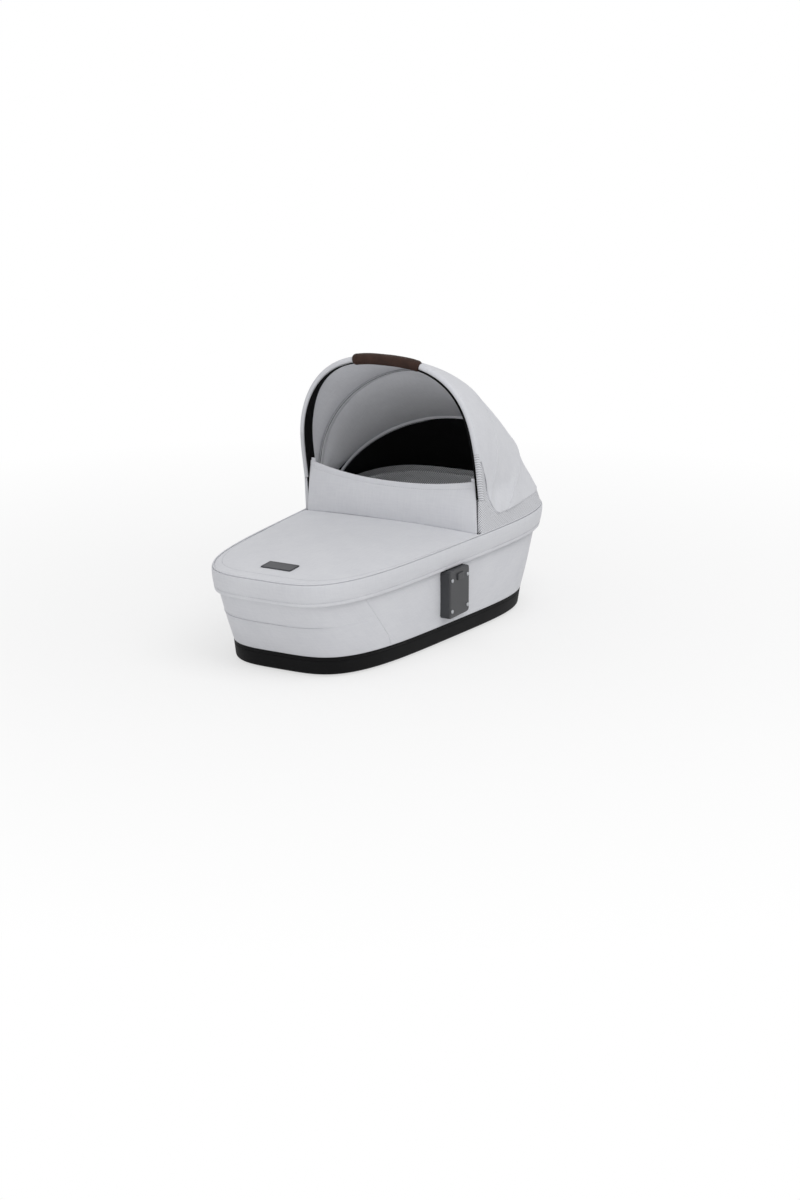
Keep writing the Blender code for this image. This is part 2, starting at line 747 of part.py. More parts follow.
def apron_top():
    """Sheet over the foot half, crowned across, with its open edge behind the wind flap."""
    outline = RIM.inset(FRAME_INSET)
    across = np.sin(np.linspace(-0.5, 0.5, 15) * math.pi)
    along_shares = np.concatenate([[0.0, 0.012, 0.035, 0.075, 0.13], np.linspace(0.2, 1.0, 8)])
    front = float(outline.points()[:, 1].min())
    rear = FLAP_BASE_Y + FLAP_BASE_SWEEP * np.abs(across) ** 2.5 + FLAP_THICKNESS
    y = front + along_shares[:, None] * (rear[None, :] - front)
    x = across[None, :] * outline.half_width_at(y)
    upper = np.stack([x, y, apron_surface(across[None, :], y)], axis=-1)
    lower = upper - np.array([0.0, 0.0, APRON_THICKNESS])
    sheet_piece("apron_top", upper, lower, shell_fabric())


def badge():
    """Bare metal plate on the apron, tilted with the slope under it."""
    x = np.array([-0.5, 0.5, 0.5, -0.5]) * BADGE_WIDTH
    centre = BADGE_REACH - RIM.foot_reach
    y = centre + np.array([-0.5, -0.5, 0.5, 0.5]) * BADGE_LENGTH
    half = RIM.inset(FRAME_INSET).half_width_at(y)
    base = apron_surface(x / half, y)
    middle = apron_surface(np.zeros(2), np.array([y[0], y[2]]))
    base = np.maximum(base, np.repeat(middle, 2)) + 2.0 * CLEARANCE
    rings = [np.column_stack([x, y, base]), np.column_stack([x, y, base + BADGE_THICKNESS])]
    ring_piece("badge", rings, badge_metal())


# Wind flap


def flap_grids():
    """Front and back faces of the flap, as grids from its foot up and from left to right."""
    across = np.linspace(-1.0, 1.0, 13)[None, :]
    up = np.linspace(0.0, 1.0, 5)[:, None]
    base_half = RIM.inset(FRAME_INSET).half_width_at(FLAP_BASE_Y)
    base = apron_surface(across * FLAP_BASE_HALF_WIDTH / base_half, FLAP_BASE_Y + 0.0 * across)
    top = SEAM_HEIGHT + APRON_CROWN + FLAP_HEIGHT + FLAP_CORNER_RISE * np.abs(across) ** 2.2
    half = FLAP_BASE_HALF_WIDTH + (FLAP_TOP_HALF_WIDTH - FLAP_BASE_HALF_WIDTH) * up
    base_y = FLAP_BASE_Y + FLAP_BASE_SWEEP * np.abs(across) ** 2.5
    top_y = FLAP_TOP_Y + FLAP_TOP_SWEEP * across**2
    belly = FLAP_BULGE * np.sin(up * math.pi) * (1.0 - across**4)
    y = base_y + (top_y - base_y) * up - belly
    low = base + 2.0 * CLEARANCE
    z = low + (top - low) * up
    front = np.stack([across * half, y, z], axis=-1)
    return front, front + np.array([0.0, FLAP_THICKNESS, 0.0])


def flap_axis():
    """The line that the flap folds about: its foot, in the middle."""
    return (0.0, FLAP_BASE_Y, SEAM_HEIGHT + APRON_CROWN + CLEARANCE)


def wind_flap():
    """Flap with a hollow upper edge, and a small tab that holds each corner to the bow."""
    front, back = flap_grids()
    axis = flap_axis()
    pieces = [sheet_piece("wind_flap", front, back, shell_fabric(), axis)]
    for column, (side, sign) in zip((0, -1), SIDES):
        corner = (front[-1, column] + back[-1, column]) / 2.0
        neighbour = front[-1, 1 if column == 0 else -2]
        slope = abs((corner[2] - neighbour[2]) / (corner[0] - neighbour[0]))
        x = (corner[0] - sign * TAB_WIDTH, corner[0])
        low = corner[2] + CLEARANCE - np.array([slope * TAB_WIDTH, 0.0])
        y = corner[1] + np.array([-0.5, 0.5]) * TAB_THICKNESS
        foot = [(x[0], low[0]), (x[1], low[1])]
        outline = foot + [(a, b + TAB_HEIGHT) for a, b in reversed(foot)]
        rings = [[(a, depth, b) for a, b in outline] for depth in y]
        pieces.append(ring_piece(f"flap_tab_{side}", rings, shell_fabric(), origin=axis))
    carry(pivot_empty("flap_hinge", axis), *pieces)


# Hood: the pivots and the front bow


def pivot_bore():
    """Cutter for the pin's holes, right across the tub."""
    radius = PIN_RADIUS + CLEARANCE
    reach = RIM_HALF_WIDTH + CUT_OVERRUN
    rings = turned_rings([(radius, -reach), (radius, reach)], 16, (0.0, PIVOT_Y, PIVOT_HEIGHT), "X")
    return joined_rings("pivot_bore", [rings])


def pivot_pins():
    """Headed pins: the shank fills the frame's bore, and the head lies in the arm's recess."""
    inner = float(RIM.inset(FRAME_INNER_INSET).half_width_at(PIVOT_Y)) + CLEARANCE
    seat = ARM_OUTER_X - PIN_HEAD_DEPTH
    for side, sign in SIDES:
        profile = [
            (PIN_RADIUS, sign * inner),
            (PIN_RADIUS, sign * seat),
            (PIN_HEAD_RADIUS, sign * seat),
            (PIN_HEAD_RADIUS, sign * ARM_OUTER_X),
        ]
        centre = (0.0, PIVOT_Y, PIVOT_HEIGHT)
        ring_piece(f"pivot_pin_{side}", turned_rings(profile, 16, centre, "X"), pin_steel())


def bow_y(height):
    """The front bow's Y at this height: upright at the top, and its legs sweep back below."""
    drop = BOW_KNEE_HEIGHT - np.asarray(height, float)
    return BOW_TOP_Y + BOW_LEAN_SHARE * (np.sqrt(drop**2 + BOW_KNEE_BEND**2) + drop) / 2.0


@dataclass(frozen=True)
class Line:
    """Points along a bent rod, with the outward and forward directions at each."""

    points: np.ndarray
    outward: np.ndarray
    tangent: np.ndarray

    def part(self, start, end, extra=()):
        """The stretch between two distances along the rod, with extra stations added."""
        run = run_length(self.points)
        inner = [at for at in (*run, *extra) if start + CLEARANCE < at < end - CLEARANCE]
        at = np.array(sorted({start, end, *inner}))
        rows = (self.points, self.outward, self.tangent)
        return Line(*(along_line(at, run, row) for row in rows)), at

    def length(self):
        """The rod's length, measured along its points."""
        return float(run_length(self.points)[-1])


def bow_line():
    """The bow's centre line from -X to +X: the one line that all its pieces follow."""
    rise = BOW_TOP_HEIGHT - BOW_SHOULDER_HEIGHT
    turn = np.linspace(math.pi, 0.0, 600)
    x = BOW_HALF_SPAN * np.sign(np.cos(turn)) * np.abs(np.cos(turn)) ** (2.0 / BOW_POWER)
    z = BOW_SHOULDER_HEIGHT + rise * np.sin(turn) ** (2.0 / BOW_POWER)
    x = np.concatenate([[-BOW_HALF_SPAN], x, [BOW_HALF_SPAN]])
    z = np.concatenate([[BOW_FOOT_HEIGHT], z, [BOW_FOOT_HEIGHT]])
    dense = np.column_stack([x, bow_y(z), z])
    run = run_length(dense)
    points = along_line(np.linspace(0.0, run[-1], HOOD_COUNT), run, dense)
    tangent = np.gradient(points, axis=0)
    tangent /= np.linalg.norm(tangent, axis=1)[:, None]
    outward = np.cross(np.array([0.0, -1.0, 0.0]), tangent)
    outward /= np.linalg.norm(outward, axis=1)[:, None]
    return Line(points, outward, tangent)


def tube_rings(line, radius, sides):
    """Round cross-sections along a line, each square to it. radius may differ along it."""
    across = np.cross(line.tangent, line.outward)
    turn = (np.arange(sides) + 0.5) * 2.0 * math.pi / sides
    size = np.broadcast_to(radius, len(line.points))[:, None, None]
    circle = np.cos(turn)[None, :, None] * line.outward[:, None]
    circle = circle + np.sin(turn)[None, :, None] * across[:, None]
    return line.points[:, None] + size * circle


def front_bow():
    """Aluminium tube bent to an arch, from arm to arm."""
    rings = tube_rings(bow_line(), BOW_TUBE_RADIUS, 8)
    return ring_piece("front_bow", rings, tube_aluminium(), origin=hood_axis())


def hood_axis():
    """Middle of the line through both pivot pins."""
    return (0.0, PIVOT_Y, PIVOT_HEIGHT)


def grip_ends(line):
    """Where the grip starts and ends along the bow."""
    middle = line.length() / 2.0
    return middle - GRIP_LENGTH / 2.0, middle + GRIP_LENGTH / 2.0


def handle_grip():
    """Leatherette sleeve on the middle of the bow, with rounded ends."""
    whole = bow_line()
    start, end = grip_ends(whole)
    rounding = (GRIP_ROUNDING / 3.0, GRIP_ROUNDING)
    extra = [start + step for step in rounding] + [end - step for step in rounding]
    line, at = whole.part(start, end, extra)
    depth = np.clip(1.0 - np.minimum(at - start, end - at) / GRIP_ROUNDING, 0.0, 1.0)
    fall = GRIP_ROUNDING * (1.0 - np.sqrt(1.0 - (GRIP_END_SHARE * depth) ** 2))
    outer = tube_rings(line, GRIP_RADIUS - fall, 12)
    bore = tube_rings(line, SLEEVE_INNER_RADIUS, 12)[::-1]
    rings = np.concatenate([outer, bore])
    return ring_piece("handle_grip", rings, leatherette(), looped=True, origin=hood_axis())


def bow_sides(whole):
    """The bow's stretches on either side of the grip."""
    start, end = grip_ends(whole)
    left, _ = whole.part(0.0, start - CLEARANCE)
    right, _ = whole.part(end + CLEARANCE, whole.length())
    return (("left", left), ("right", right))


def bow_sleeves():
    """The hood's hem round the tube, from each arm to the grip."""
    made = []
    for side, line in bow_sides(bow_line()):
        outer = tube_rings(line, SLEEVE_RADIUS, 8)
        bore = tube_rings(line, SLEEVE_INNER_RADIUS, 8)[::-1]
        rings = np.concatenate([outer, bore])
        made.append(
            ring_piece(f"bow_sleeve_{side}", rings, shell_fabric(), looped=True, origin=hood_axis())
        )
    return made


def facing_depth(height):
    """Depth of the facing: slim at the arms, full along the legs, slim again at the grip."""
    widen = smooth_step(height, BOW_FOOT_HEIGHT, BOW_FOOT_HEIGHT + FACING_WIDENING)
    narrow = smooth_step(height, BOW_KNEE_HEIGHT, BOW_TOP_HEIGHT)
    depth = FACING_FOOT_DEPTH + (FACING_DEPTH - FACING_FOOT_DEPTH) * widen
    return depth + (FACING_TOP_DEPTH - FACING_DEPTH) * narrow


def bow_facings():
    """Black strip on the bow's inner face, from each arm to the grip."""
    made = []
    for side, line in bow_sides(bow_line()):
        near = line.points - (SLEEVE_RADIUS + CLEARANCE) * line.outward
        far = near - FACING_THICKNESS * line.outward
        front = np.array([0.0, -SLEEVE_RADIUS, 0.0])
        back = front + facing_depth(line.points[:, 2])[:, None] * np.array([0.0, 1.0, 0.0])
        rings = np.stack([near + front, far + front, far + back, near + back], axis=1)
        made.append(ring_piece(f"bow_facing_{side}", rings, mesh_fabric(), origin=hood_axis()))
    return made


def bow_arms():
    """Flat arms from the pins up to the bow's feet, each with a bored and recessed eye."""
    half = ARM_WIDTH / 2.0
    line = bow_line()
    up = line.tangent[0, 1:]
    foot = line.points[0, 1:] - CLEARANCE * up
    across = np.array([up[1], -up[0]]) * SLEEVE_RADIUS
    lean = math.atan2(foot[1] - PIVOT_HEIGHT, foot[0] - PIVOT_Y)
    outline = []
    for degrees in range(90, 271, 20):
        turn = lean + math.radians(degrees)
        outline.append((PIVOT_Y + half * math.cos(turn), PIVOT_HEIGHT + half * math.sin(turn)))
    outline += [tuple(foot + across), tuple(foot - across)]
    recess = ARM_OUTER_X - PIN_HEAD_DEPTH - CLEARANCE
    radius = PIN_HEAD_RADIUS + CLEARANCE
    made = []
    for side, sign in SIDES:
        rings = [[(sign * x, y, z) for y, z in outline] for x in (ARM_INNER_X, ARM_OUTER_X)]
        arm = ring_piece(f"bow_arm_{side}", rings, black_plastic(), origin=hood_axis())
        profile = [(radius, sign * recess), (radius, sign * (recess + CUT_OVERRUN))]
        tool = joined_rings(f"pin_recess_{side}", [turned_rings(profile, 16, hood_axis(), "X")])
        cut(arm, tool)
        cut(arm, bpy.data.objects["pivot_bore"])
        made.append(arm)
    return made


# Hood: the middle and rear hoops


@dataclass(frozen=True)
class Hoop:
    """A flat strip that rises from both pins, straight and then arched, in one leaning plane."""

    angle: float
    half_span: float
    reach: float
    power: float

    def line(self, count, start=0.0):
        """X, distance from the pivot and outward direction, from -X to +X."""
        turn = np.linspace(math.pi, 0.0, 600)
        x = self.half_span * np.sign(np.cos(turn)) * np.abs(np.cos(turn)) ** (2.0 / self.power)
        s = HOOP_LEG + (self.reach - HOOP_LEG) * np.sin(turn) ** (2.0 / self.power)
        x = np.concatenate([[-self.half_span], x, [self.half_span]])
        s = np.concatenate([[start], s, [start]])
        dense = np.column_stack([x, s])
        run = run_length(dense)
        at = along_line(np.linspace(0.0, run[-1], count), run, dense)
        step = np.gradient(at, axis=0)
        step /= np.linalg.norm(step, axis=1)[:, None]
        return at[:, 0], at[:, 1], -step[:, 1], step[:, 0]

    def place(self, x, s, side=0.0):
        """World points at X and distance s, with side as the offset square to the plane."""
        lean = math.radians(self.angle)
        y = PIVOT_Y + s * math.cos(lean) - side * math.sin(lean)
        z = PIVOT_HEIGHT + s * math.sin(lean) + side * math.cos(lean)
        return np.stack(np.broadcast_arrays(x, y, z), axis=-1)

    def edge(self, lift, side, start_height):
        """A line lifted off the strip's middle, and the step inwards at each of its points."""
        start = (start_height - PIVOT_HEIGHT) / math.sin(math.radians(self.angle))
        x, s, out_x, out_s = self.line(HOOD_COUNT, start)
        points = self.place(x + lift * out_x, s + lift * out_s, side)
        lean = math.radians(self.angle)
        inward = np.stack([-out_x, -out_s * math.cos(lean), -out_s * math.sin(lean)], axis=-1)
        return points, inward


MID_HOOP = Hoop(MID_REST_DEG, MID_HOOP_X, MID_REACH, MID_POWER)
REAR_HOOP = Hoop(REAR_REST_DEG, REAR_HOOP_X, REAR_REACH, REAR_POWER)


def hoop_piece(name, hoop):
    """The strip with a round, bored eye at each end."""
    x, s, out_x, out_s = hoop.line(35, EYE_RADIUS)
    half = np.full(len(x), HOOP_WIDTH / 2.0)
    eye = np.array([-0.995, -0.85, -0.5, 0.0, 0.5, 0.85]) * EYE_RADIUS
    eye_half = np.sqrt(EYE_RADIUS**2 - eye**2)
    eye_half[-1] = max(eye_half[-1], HOOP_WIDTH / 2.0)
    x = np.concatenate([np.full(len(eye), x[0]), x, np.full(len(eye), x[-1])])
    s = np.concatenate([eye, s, eye[::-1]])
    out_x = np.concatenate([np.full(len(eye), -1.0), out_x, np.full(len(eye), 1.0)])
    out_s = np.concatenate([np.zeros(len(eye)), out_s, np.zeros(len(eye))])
    half = np.concatenate([eye_half, half, eye_half[::-1]])
    skin = HOOP_STRIP / 2.0
    rings = np.stack(
        [
            hoop.place(x + skin * out_x, s + skin * out_s, side=-half),
            hoop.place(x + skin * out_x, s + skin * out_s, side=half),
            hoop.place(x - skin * out_x, s - skin * out_s, side=half),
            hoop.place(x - skin * out_x, s - skin * out_s, side=-half),
        ],
        axis=1,
    )
    made = ring_piece(name, rings, frame_plastic(), origin=hood_axis())
    cut(made, bpy.data.objects["pivot_bore"])
    return made


# Hood: the fabric


def sheet_between(name, first, last, rows, sag, finish, thickness):
    """A thin sheet between two edges, drawn in between them.

    Each edge is its points and the steps inwards at them.
    """
    share = np.linspace(0.0, 1.0, rows)[:, None, None]
    inward = first[1][None] * (1.0 - share) + last[1][None] * share
    inward /= np.linalg.norm(inward, axis=2)[:, :, None]
    outer = first[0][None] * (1.0 - share) + last[0][None] * share
    outer = outer + sag * 4.0 * share * (1.0 - share) * inward
    return sheet_piece(name, outer, outer + thickness * inward, finish, hood_axis())


def front_fabric_edge():
    """Where the front panel starts, just behind the bow's sleeve and its grip."""
    line = bow_line()
    run = run_length(line.points)
    start, end = grip_ends(line)
    beyond = np.maximum(start - run, run - end)
    wide = 1.0 - smooth_step(beyond, 0.0, GRIP_LENGTH / 5.0)
    behind = SLEEVE_RADIUS + CLEARANCE + (GRIP_RADIUS - SLEEVE_RADIUS) * wide
    points = line.points + (SLEEVE_RADIUS - CLEARANCE) * line.outward
    points[:, 1] += behind
    return points, -line.outward


def hoop_fabric_edge(hoop, side):
    """Where a panel's edge lies over a hoop, to one side of the strip's middle."""
    lift = HOOP_STRIP / 2.0 + FABRIC_STANDOFF + FABRIC_THICKNESS
    return hoop.edge(lift, side, PANEL_LOWER_HEIGHT + CLEARANCE)


def skirt_edge(count, start_y, height, lean_share, standoff=0.0):
    """The skirt's outer face at one height, and the steps inwards."""
    flat, inward = RIM.round_head(start_y, count)
    past = flat[:, 1] - SKIRT_LEAN_START
    lean = SKIRT_LEAN * smooth_step(past, 0.0, SKIRT_LEAN_RUN) * lean_share
    by = FRAME_INSET - FABRIC_THICKNESS + standoff + lean
    flat = flat + inward * by[:, None]
    points = np.column_stack([flat, np.broadcast_to(height, count)])
    return points, np.column_stack([inward, np.zeros(count)])


def hood_skirt():
    """Fabric strip that stands on the rim from arm to arm, higher beside the arms."""
    start_y = PIVOT_Y - ARM_WIDTH / 2.0
    low = skirt_edge(HOOD_COUNT, start_y, SEAM_HEIGHT + CLEARANCE, 0.3)
    high = skirt_edge(HOOD_COUNT, start_y, PANEL_LOWER_HEIGHT - CLEARANCE, 1.0)
    corner = float(hoop_fabric_edge(MID_HOOP, CLEARANCE)[0][0, 1])
    rise = np.clip((corner - high[0][:, 1]) / (corner - start_y), 0.0, 1.0)
    high[0][:, 2] += rise * (BOW_FOOT_HEIGHT - PANEL_LOWER_HEIGHT)
    outer = np.stack([low[0], (low[0] + high[0]) / 2.0, high[0]])
    inward = np.stack([low[1], low[1], high[1]])
    sheet_piece("hood_skirt", outer, outer + FABRIC_THICKNESS * inward, shell_fabric())


def hood_front_panel():
    """Fabric from the front bow to the middle hoop."""
    first, last = front_fabric_edge(), hoop_fabric_edge(MID_HOOP, CLEARANCE)
    sag = PANEL_SAG / 2.0
    return sheet_between("hood_front_panel", first, last, 3, sag, shell_fabric(), FABRIC_THICKNESS)


def hood_rear_panel():
    """Fabric from the middle hoop to the rear hoop."""
    first = hoop_fabric_edge(MID_HOOP, -CLEARANCE)
    last = hoop_fabric_edge(REAR_HOOP, CLEARANCE)
    sag = PANEL_SAG
    return sheet_between("hood_rear_panel", first, last, 4, sag, shell_fabric(), FABRIC_THICKNESS)


def back_edge(standoff):
    """The lower edge of the hood's back, just above the skirt's upper edge."""
    start_y = float(hoop_fabric_edge(REAR_HOOP, 0.0)[0][0, 1]) + standoff
    return skirt_edge(HOOD_COUNT, start_y, PANEL_LOWER_HEIGHT + CLEARANCE, 1.0, standoff)


def hood_back_panel():
    """Fabric from the rear hoop down to the skirt, round the head end."""
    first, last = hoop_fabric_edge(REAR_HOOP, -CLEARANCE), back_edge(0.0)
    return sheet_between("hood_back_panel", first, last, 3, 0.0, shell_fabric(), FABRIC_THICKNESS)


def vent_mesh():
    """Black net that hangs from the rear hoop, inside the hood's back."""
    gap = HOOP_WIDTH / 2.0 + CLEARANCE
    first = REAR_HOOP.edge(-HOOP_STRIP / 2.0, -gap, PANEL_LOWER_HEIGHT + MESH_STANDOFF)
    last = back_edge(MESH_STANDOFF + FABRIC_THICKNESS)
    return sheet_between("vent_mesh", first, last, 3, 0.0, mesh_fabric(), MESH_THICKNESS)


# Chassis adapters


def screw_bores():
    """Cutter for the screws' holes, right across the tub."""
    radius = SCREW_RADIUS + CLEARANCE
    reach = RIM_HALF_WIDTH + CUT_OVERRUN
    bores = []
    for height in SCREW_HEIGHTS:
        for step in (-1.0, 1.0):
            centre = (0.0, ADAPTER_Y + step * SCREW_SPREAD, height)
            bores.append(turned_rings([(radius, -reach), (radius, reach)], 10, centre, "X"))
    return joined_rings("screw_bores", bores)


def tub_blank():
    """The tub's outer shape, grown by the clearance, which the adapters' backs are cut to."""
    heights = (FOOT_STAND, TRAY_TOP_HEIGHT, HEM_HEIGHT, SEAM_HEIGHT)
    rings = [level_ring(shell_outline(h).inset(-CLEARANCE), h) for h in heights]
    return as_cutter(ring_piece("tub_blank", rings, None))


def adapters():
    """Side housings: a socket open below for the chassis, and a pocket for the button."""
    blank = tub_blank()
    half = ADAPTER_WIDTH / 2.0
    for side, sign in SIDES:
        x = sorted((sign * (ADAPTER_INNER_X - CUT_OVERRUN / 2.0), sign * ADAPTER_FACE_X))
        body = box_piece(
            f"adapter_{side}",
            (x[0], ADAPTER_Y - half, ADAPTER_BASE_HEIGHT),
            (x[1], ADAPTER_Y + half, ADAPTER_TOP_HEIGHT),
            dark_plastic(),
            ADAPTER_ROUNDING,
        )
        outer = ADAPTER_FACE_X - SOCKET_WALL
        x = sorted((sign * (outer - SOCKET_DEPTH), sign * outer))
        socket = box_piece(
            f"socket_{side}",
            (x[0], ADAPTER_Y - SOCKET_WIDTH / 2.0, ADAPTER_BASE_HEIGHT - CUT_OVERRUN),
            (x[1], ADAPTER_Y + SOCKET_WIDTH / 2.0, SOCKET_TOP_HEIGHT),
            None,
        )
        x = sorted((sign * BUTTON_POCKET_X, sign * (BUTTON_POCKET_X + CUT_OVERRUN)))
        across = BUTTON_WIDTH / 2.0 + CLEARANCE
        tall = BUTTON_HEIGHT / 2.0 + CLEARANCE
        pocket = box_piece(
            f"button_pocket_{side}",
            (x[0], ADAPTER_Y - across, BUTTON_CENTRE_HEIGHT - tall),
            (x[1], ADAPTER_Y + across, BUTTON_CENTRE_HEIGHT + tall),
            None,
        )
        cut(body, blank)
        cut(body, as_cutter(socket))
        cut(body, as_cutter(pocket))
        cut(body, bpy.data.objects["screw_bores"])


def adapter_buttons():
    """Release buttons that slide into the adapters."""
    for side, sign in SIDES:
        x = sorted((sign * BUTTON_BACK_X, sign * BUTTON_FACE_X))
        box_piece(
            f"adapter_button_{side}",
            (x[0], ADAPTER_Y - BUTTON_WIDTH / 2.0, BUTTON_CENTRE_HEIGHT - BUTTON_HEIGHT / 2.0),
            (x[1], ADAPTER_Y + BUTTON_WIDTH / 2.0, BUTTON_CENTRE_HEIGHT + BUTTON_HEIGHT / 2.0),
            dark_plastic(),
            BUTTON_ROUNDING,
        )


def adapter_springs():
    """Compression springs behind the buttons, wound as one unbroken wire."""
    steps = 9 * SPRING_TURNS + 1
    turn = np.linspace(0.0, 2.0 * math.pi * SPRING_TURNS, steps)
    mid_radius = SPRING_RADIUS - SPRING_WIRE_RADIUS
    lead = (SPRING_LENGTH - 2.0 * SPRING_WIRE_RADIUS) / SPRING_TURNS
    along = SPRING_BACK_X + SPRING_WIRE_RADIUS + lead * turn / (2.0 * math.pi)
    print(f"spring: least gap between turns {(lead - 2.0 * SPRING_WIRE_RADIUS) * 1000.0:.2f} mm")
    for side, sign in SIDES:
        line = np.column_stack(
            [
                sign * along,
                ADAPTER_Y + mid_radius * np.cos(turn),
                BUTTON_CENTRE_HEIGHT + mid_radius * np.sin(turn),
            ]
        )
        tangent = np.gradient(line, axis=0)
        tangent /= np.linalg.norm(tangent, axis=1)[:, None]
        outward = line - np.array([0.0, ADAPTER_Y, BUTTON_CENTRE_HEIGHT])
        outward[:, 0] = 0.0
        outward -= (outward * tangent).sum(axis=1)[:, None] * tangent
        outward /= np.linalg.norm(outward, axis=1)[:, None]
        rings = tube_rings(Line(line, outward, tangent), SPRING_WIRE_RADIUS, 6)
        ring_piece(f"adapter_spring_{side}", rings, pin_steel())


def adapter_screws():
    """Pan-head screws through each adapter into the wall board."""
    end = CLEARANCE - BOARD_INNER_INSET
    for side, sign in SIDES:
        for row, height in zip(("lower", "upper"), SCREW_HEIGHTS):
            for place, step in (("front", -1.0), ("rear", 1.0)):
                y = ADAPTER_Y + step * SCREW_SPREAD
                inner = float(shell_outline(height).half_width_at(y)) + end
                seat = ADAPTER_FACE_X + CLEARANCE
                profile = [
                    (SCREW_RADIUS, sign * inner),
                    (SCREW_RADIUS, sign * seat),
                    (SCREW_HEAD_RADIUS, sign * seat),
                    (SCREW_HEAD_RADIUS * 0.9, sign * (seat + SCREW_HEAD_HEIGHT * 0.6)),
                    (SCREW_HEAD_RADIUS * 0.5, sign * (seat + SCREW_HEAD_HEIGHT)),
                ]
                rings = turned_rings(profile, 10, (0.0, y, height), "X")
                ring_piece(f"adapter_screw_{side}_{row}_{place}", rings, pin_steel())


def main():
    """Builds the carrycot, cutters first."""
    clear_scene()
    pivot_bore()
    screw_bores()
    base_tray()
    foot_pads()
    wall_board()
    outer_cover()
    rim_frame()
    rim_band()
    inner_lining()
    floor_board()
    mattress()
    apron_top()
    badge()
    wind_flap()
    pivot_pins()
    hood_skirt()
    rear = [hoop_piece("rear_bow", REAR_HOOP), hood_back_panel(), vent_mesh()]
    middle = [hoop_piece("mid_bow", MID_HOOP), hood_rear_panel()]
    front = [front_bow(), handle_grip(), hood_front_panel()]
    front += bow_sleeves() + bow_facings() + bow_arms()
    for name, pieces in (("rear_hinge", rear), ("mid_hinge", middle), ("front_hinge", front)):
        carry(pivot_empty(name, hood_axis()), *pieces)
    adapters()
    adapter_buttons()
    adapter_springs()
    adapter_screws()


if __name__ == "__main__":
    main()
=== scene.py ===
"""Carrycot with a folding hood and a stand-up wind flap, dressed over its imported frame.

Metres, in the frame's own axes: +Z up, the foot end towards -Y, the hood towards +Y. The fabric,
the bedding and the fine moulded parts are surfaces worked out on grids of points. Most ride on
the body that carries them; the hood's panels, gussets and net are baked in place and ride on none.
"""

import json
import logging
import math
from dataclasses import dataclass, replace
from enum import Enum
from functools import partial
from typing import Any, Callable, NamedTuple, Optional, Sequence

import bmesh
import bpy
import numpy as np
from mathutils import Matrix, Vector
from mathutils.bvhtree import BVHTree


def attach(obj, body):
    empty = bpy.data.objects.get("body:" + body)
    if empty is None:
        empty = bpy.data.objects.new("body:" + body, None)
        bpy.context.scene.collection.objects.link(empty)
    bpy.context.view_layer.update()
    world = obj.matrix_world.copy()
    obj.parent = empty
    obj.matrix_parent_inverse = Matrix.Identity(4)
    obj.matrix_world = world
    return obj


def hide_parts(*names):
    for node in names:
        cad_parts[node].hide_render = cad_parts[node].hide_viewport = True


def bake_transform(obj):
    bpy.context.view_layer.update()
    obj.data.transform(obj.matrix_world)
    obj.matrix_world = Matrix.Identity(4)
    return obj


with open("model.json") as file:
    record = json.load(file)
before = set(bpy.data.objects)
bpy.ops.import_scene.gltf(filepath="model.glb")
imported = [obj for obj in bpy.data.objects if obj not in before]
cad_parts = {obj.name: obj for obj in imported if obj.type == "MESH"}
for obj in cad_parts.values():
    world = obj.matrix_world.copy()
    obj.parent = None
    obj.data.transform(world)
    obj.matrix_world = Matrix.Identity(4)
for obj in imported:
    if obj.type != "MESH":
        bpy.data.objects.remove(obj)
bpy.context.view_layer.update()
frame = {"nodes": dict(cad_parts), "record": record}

LOG = logging.getLogger("carrycot")
Array = np.ndarray
Piece = bpy.types.Object
# The cloth's slot in the record.
FABRIC = "light_grey_fabric"
UP = np.array([0.0, 0.0, 1.0])
# How far two pieces of cloth keep apart.
SEAM_GAP = 0.0003


class Side(Enum):
    """The two long sides, as a sign on X."""

    LEFT = -1.0
    RIGHT = 1.0

    @property
    def label(self) -> str:
        """The side's name in lower case."""
        return self.name.lower()


class Layout(Enum):
    """What a pattern is laid out on: the piece's own UV map in metres, or its own axes."""

    CLOTH = "cloth"
    OBJECT = "object"


# Numbers on arrays


def smooth(value: Array, low: float, high: float) -> Array:
    """Returns 0 up to low, 1 from high on, and 3s^2 - 2s^3 between."""
    share = np.clip((np.asarray(value, float) - low) / (high - low), 0.0, 1.0)
    return share * share * (3.0 - 2.0 * share)


def ridge(value: Array, middle: float, width: float) -> Array:
    """Returns a bell that is 1 at the middle and falls to 1 / e a width away."""
    return np.exp(-(((value - middle) / width) ** 2))


def unit(vectors: Array) -> Array:
    """Returns the vectors at length 1."""
    length = np.linalg.norm(vectors, axis=-1, keepdims=True)
    return vectors / np.maximum(length, 1e-12)


def run_length(points: Array) -> Array:
    """Returns the distance travelled along a line of points, at each of them."""
    steps = np.linalg.norm(np.diff(points, axis=0), axis=1)
    return np.concatenate([[0.0], np.cumsum(steps)])


def at_distances(points: Array, wanted: Array) -> Array:
    """Returns the points at the distances wanted along a line of points."""
    run = run_length(points)
    return np.stack([np.interp(wanted, run, column) for column in points.T], axis=-1)


def evenly(points: Array, count: int) -> Array:
    """Returns so many points, evenly spaced along a line of points."""
    return at_distances(points, np.linspace(0.0, run_length(points)[-1], count))


def tangents(points: Array, closed: bool) -> Array:
    """Returns the forward direction at each point of a line, from its two neighbours."""
    ahead = np.roll(points, -1, axis=0) - np.roll(points, 1, axis=0)
    return unit(ahead if closed else np.gradient(points, axis=0))


def straight(first: Array, last: Array, shares: Array) -> Array:
    """Returns a grid whose rows lie at these shares of the way between two lines of points."""
    share = np.asarray(shares)[:, None, None]
    return first[None] * (1.0 - share) + last[None] * share


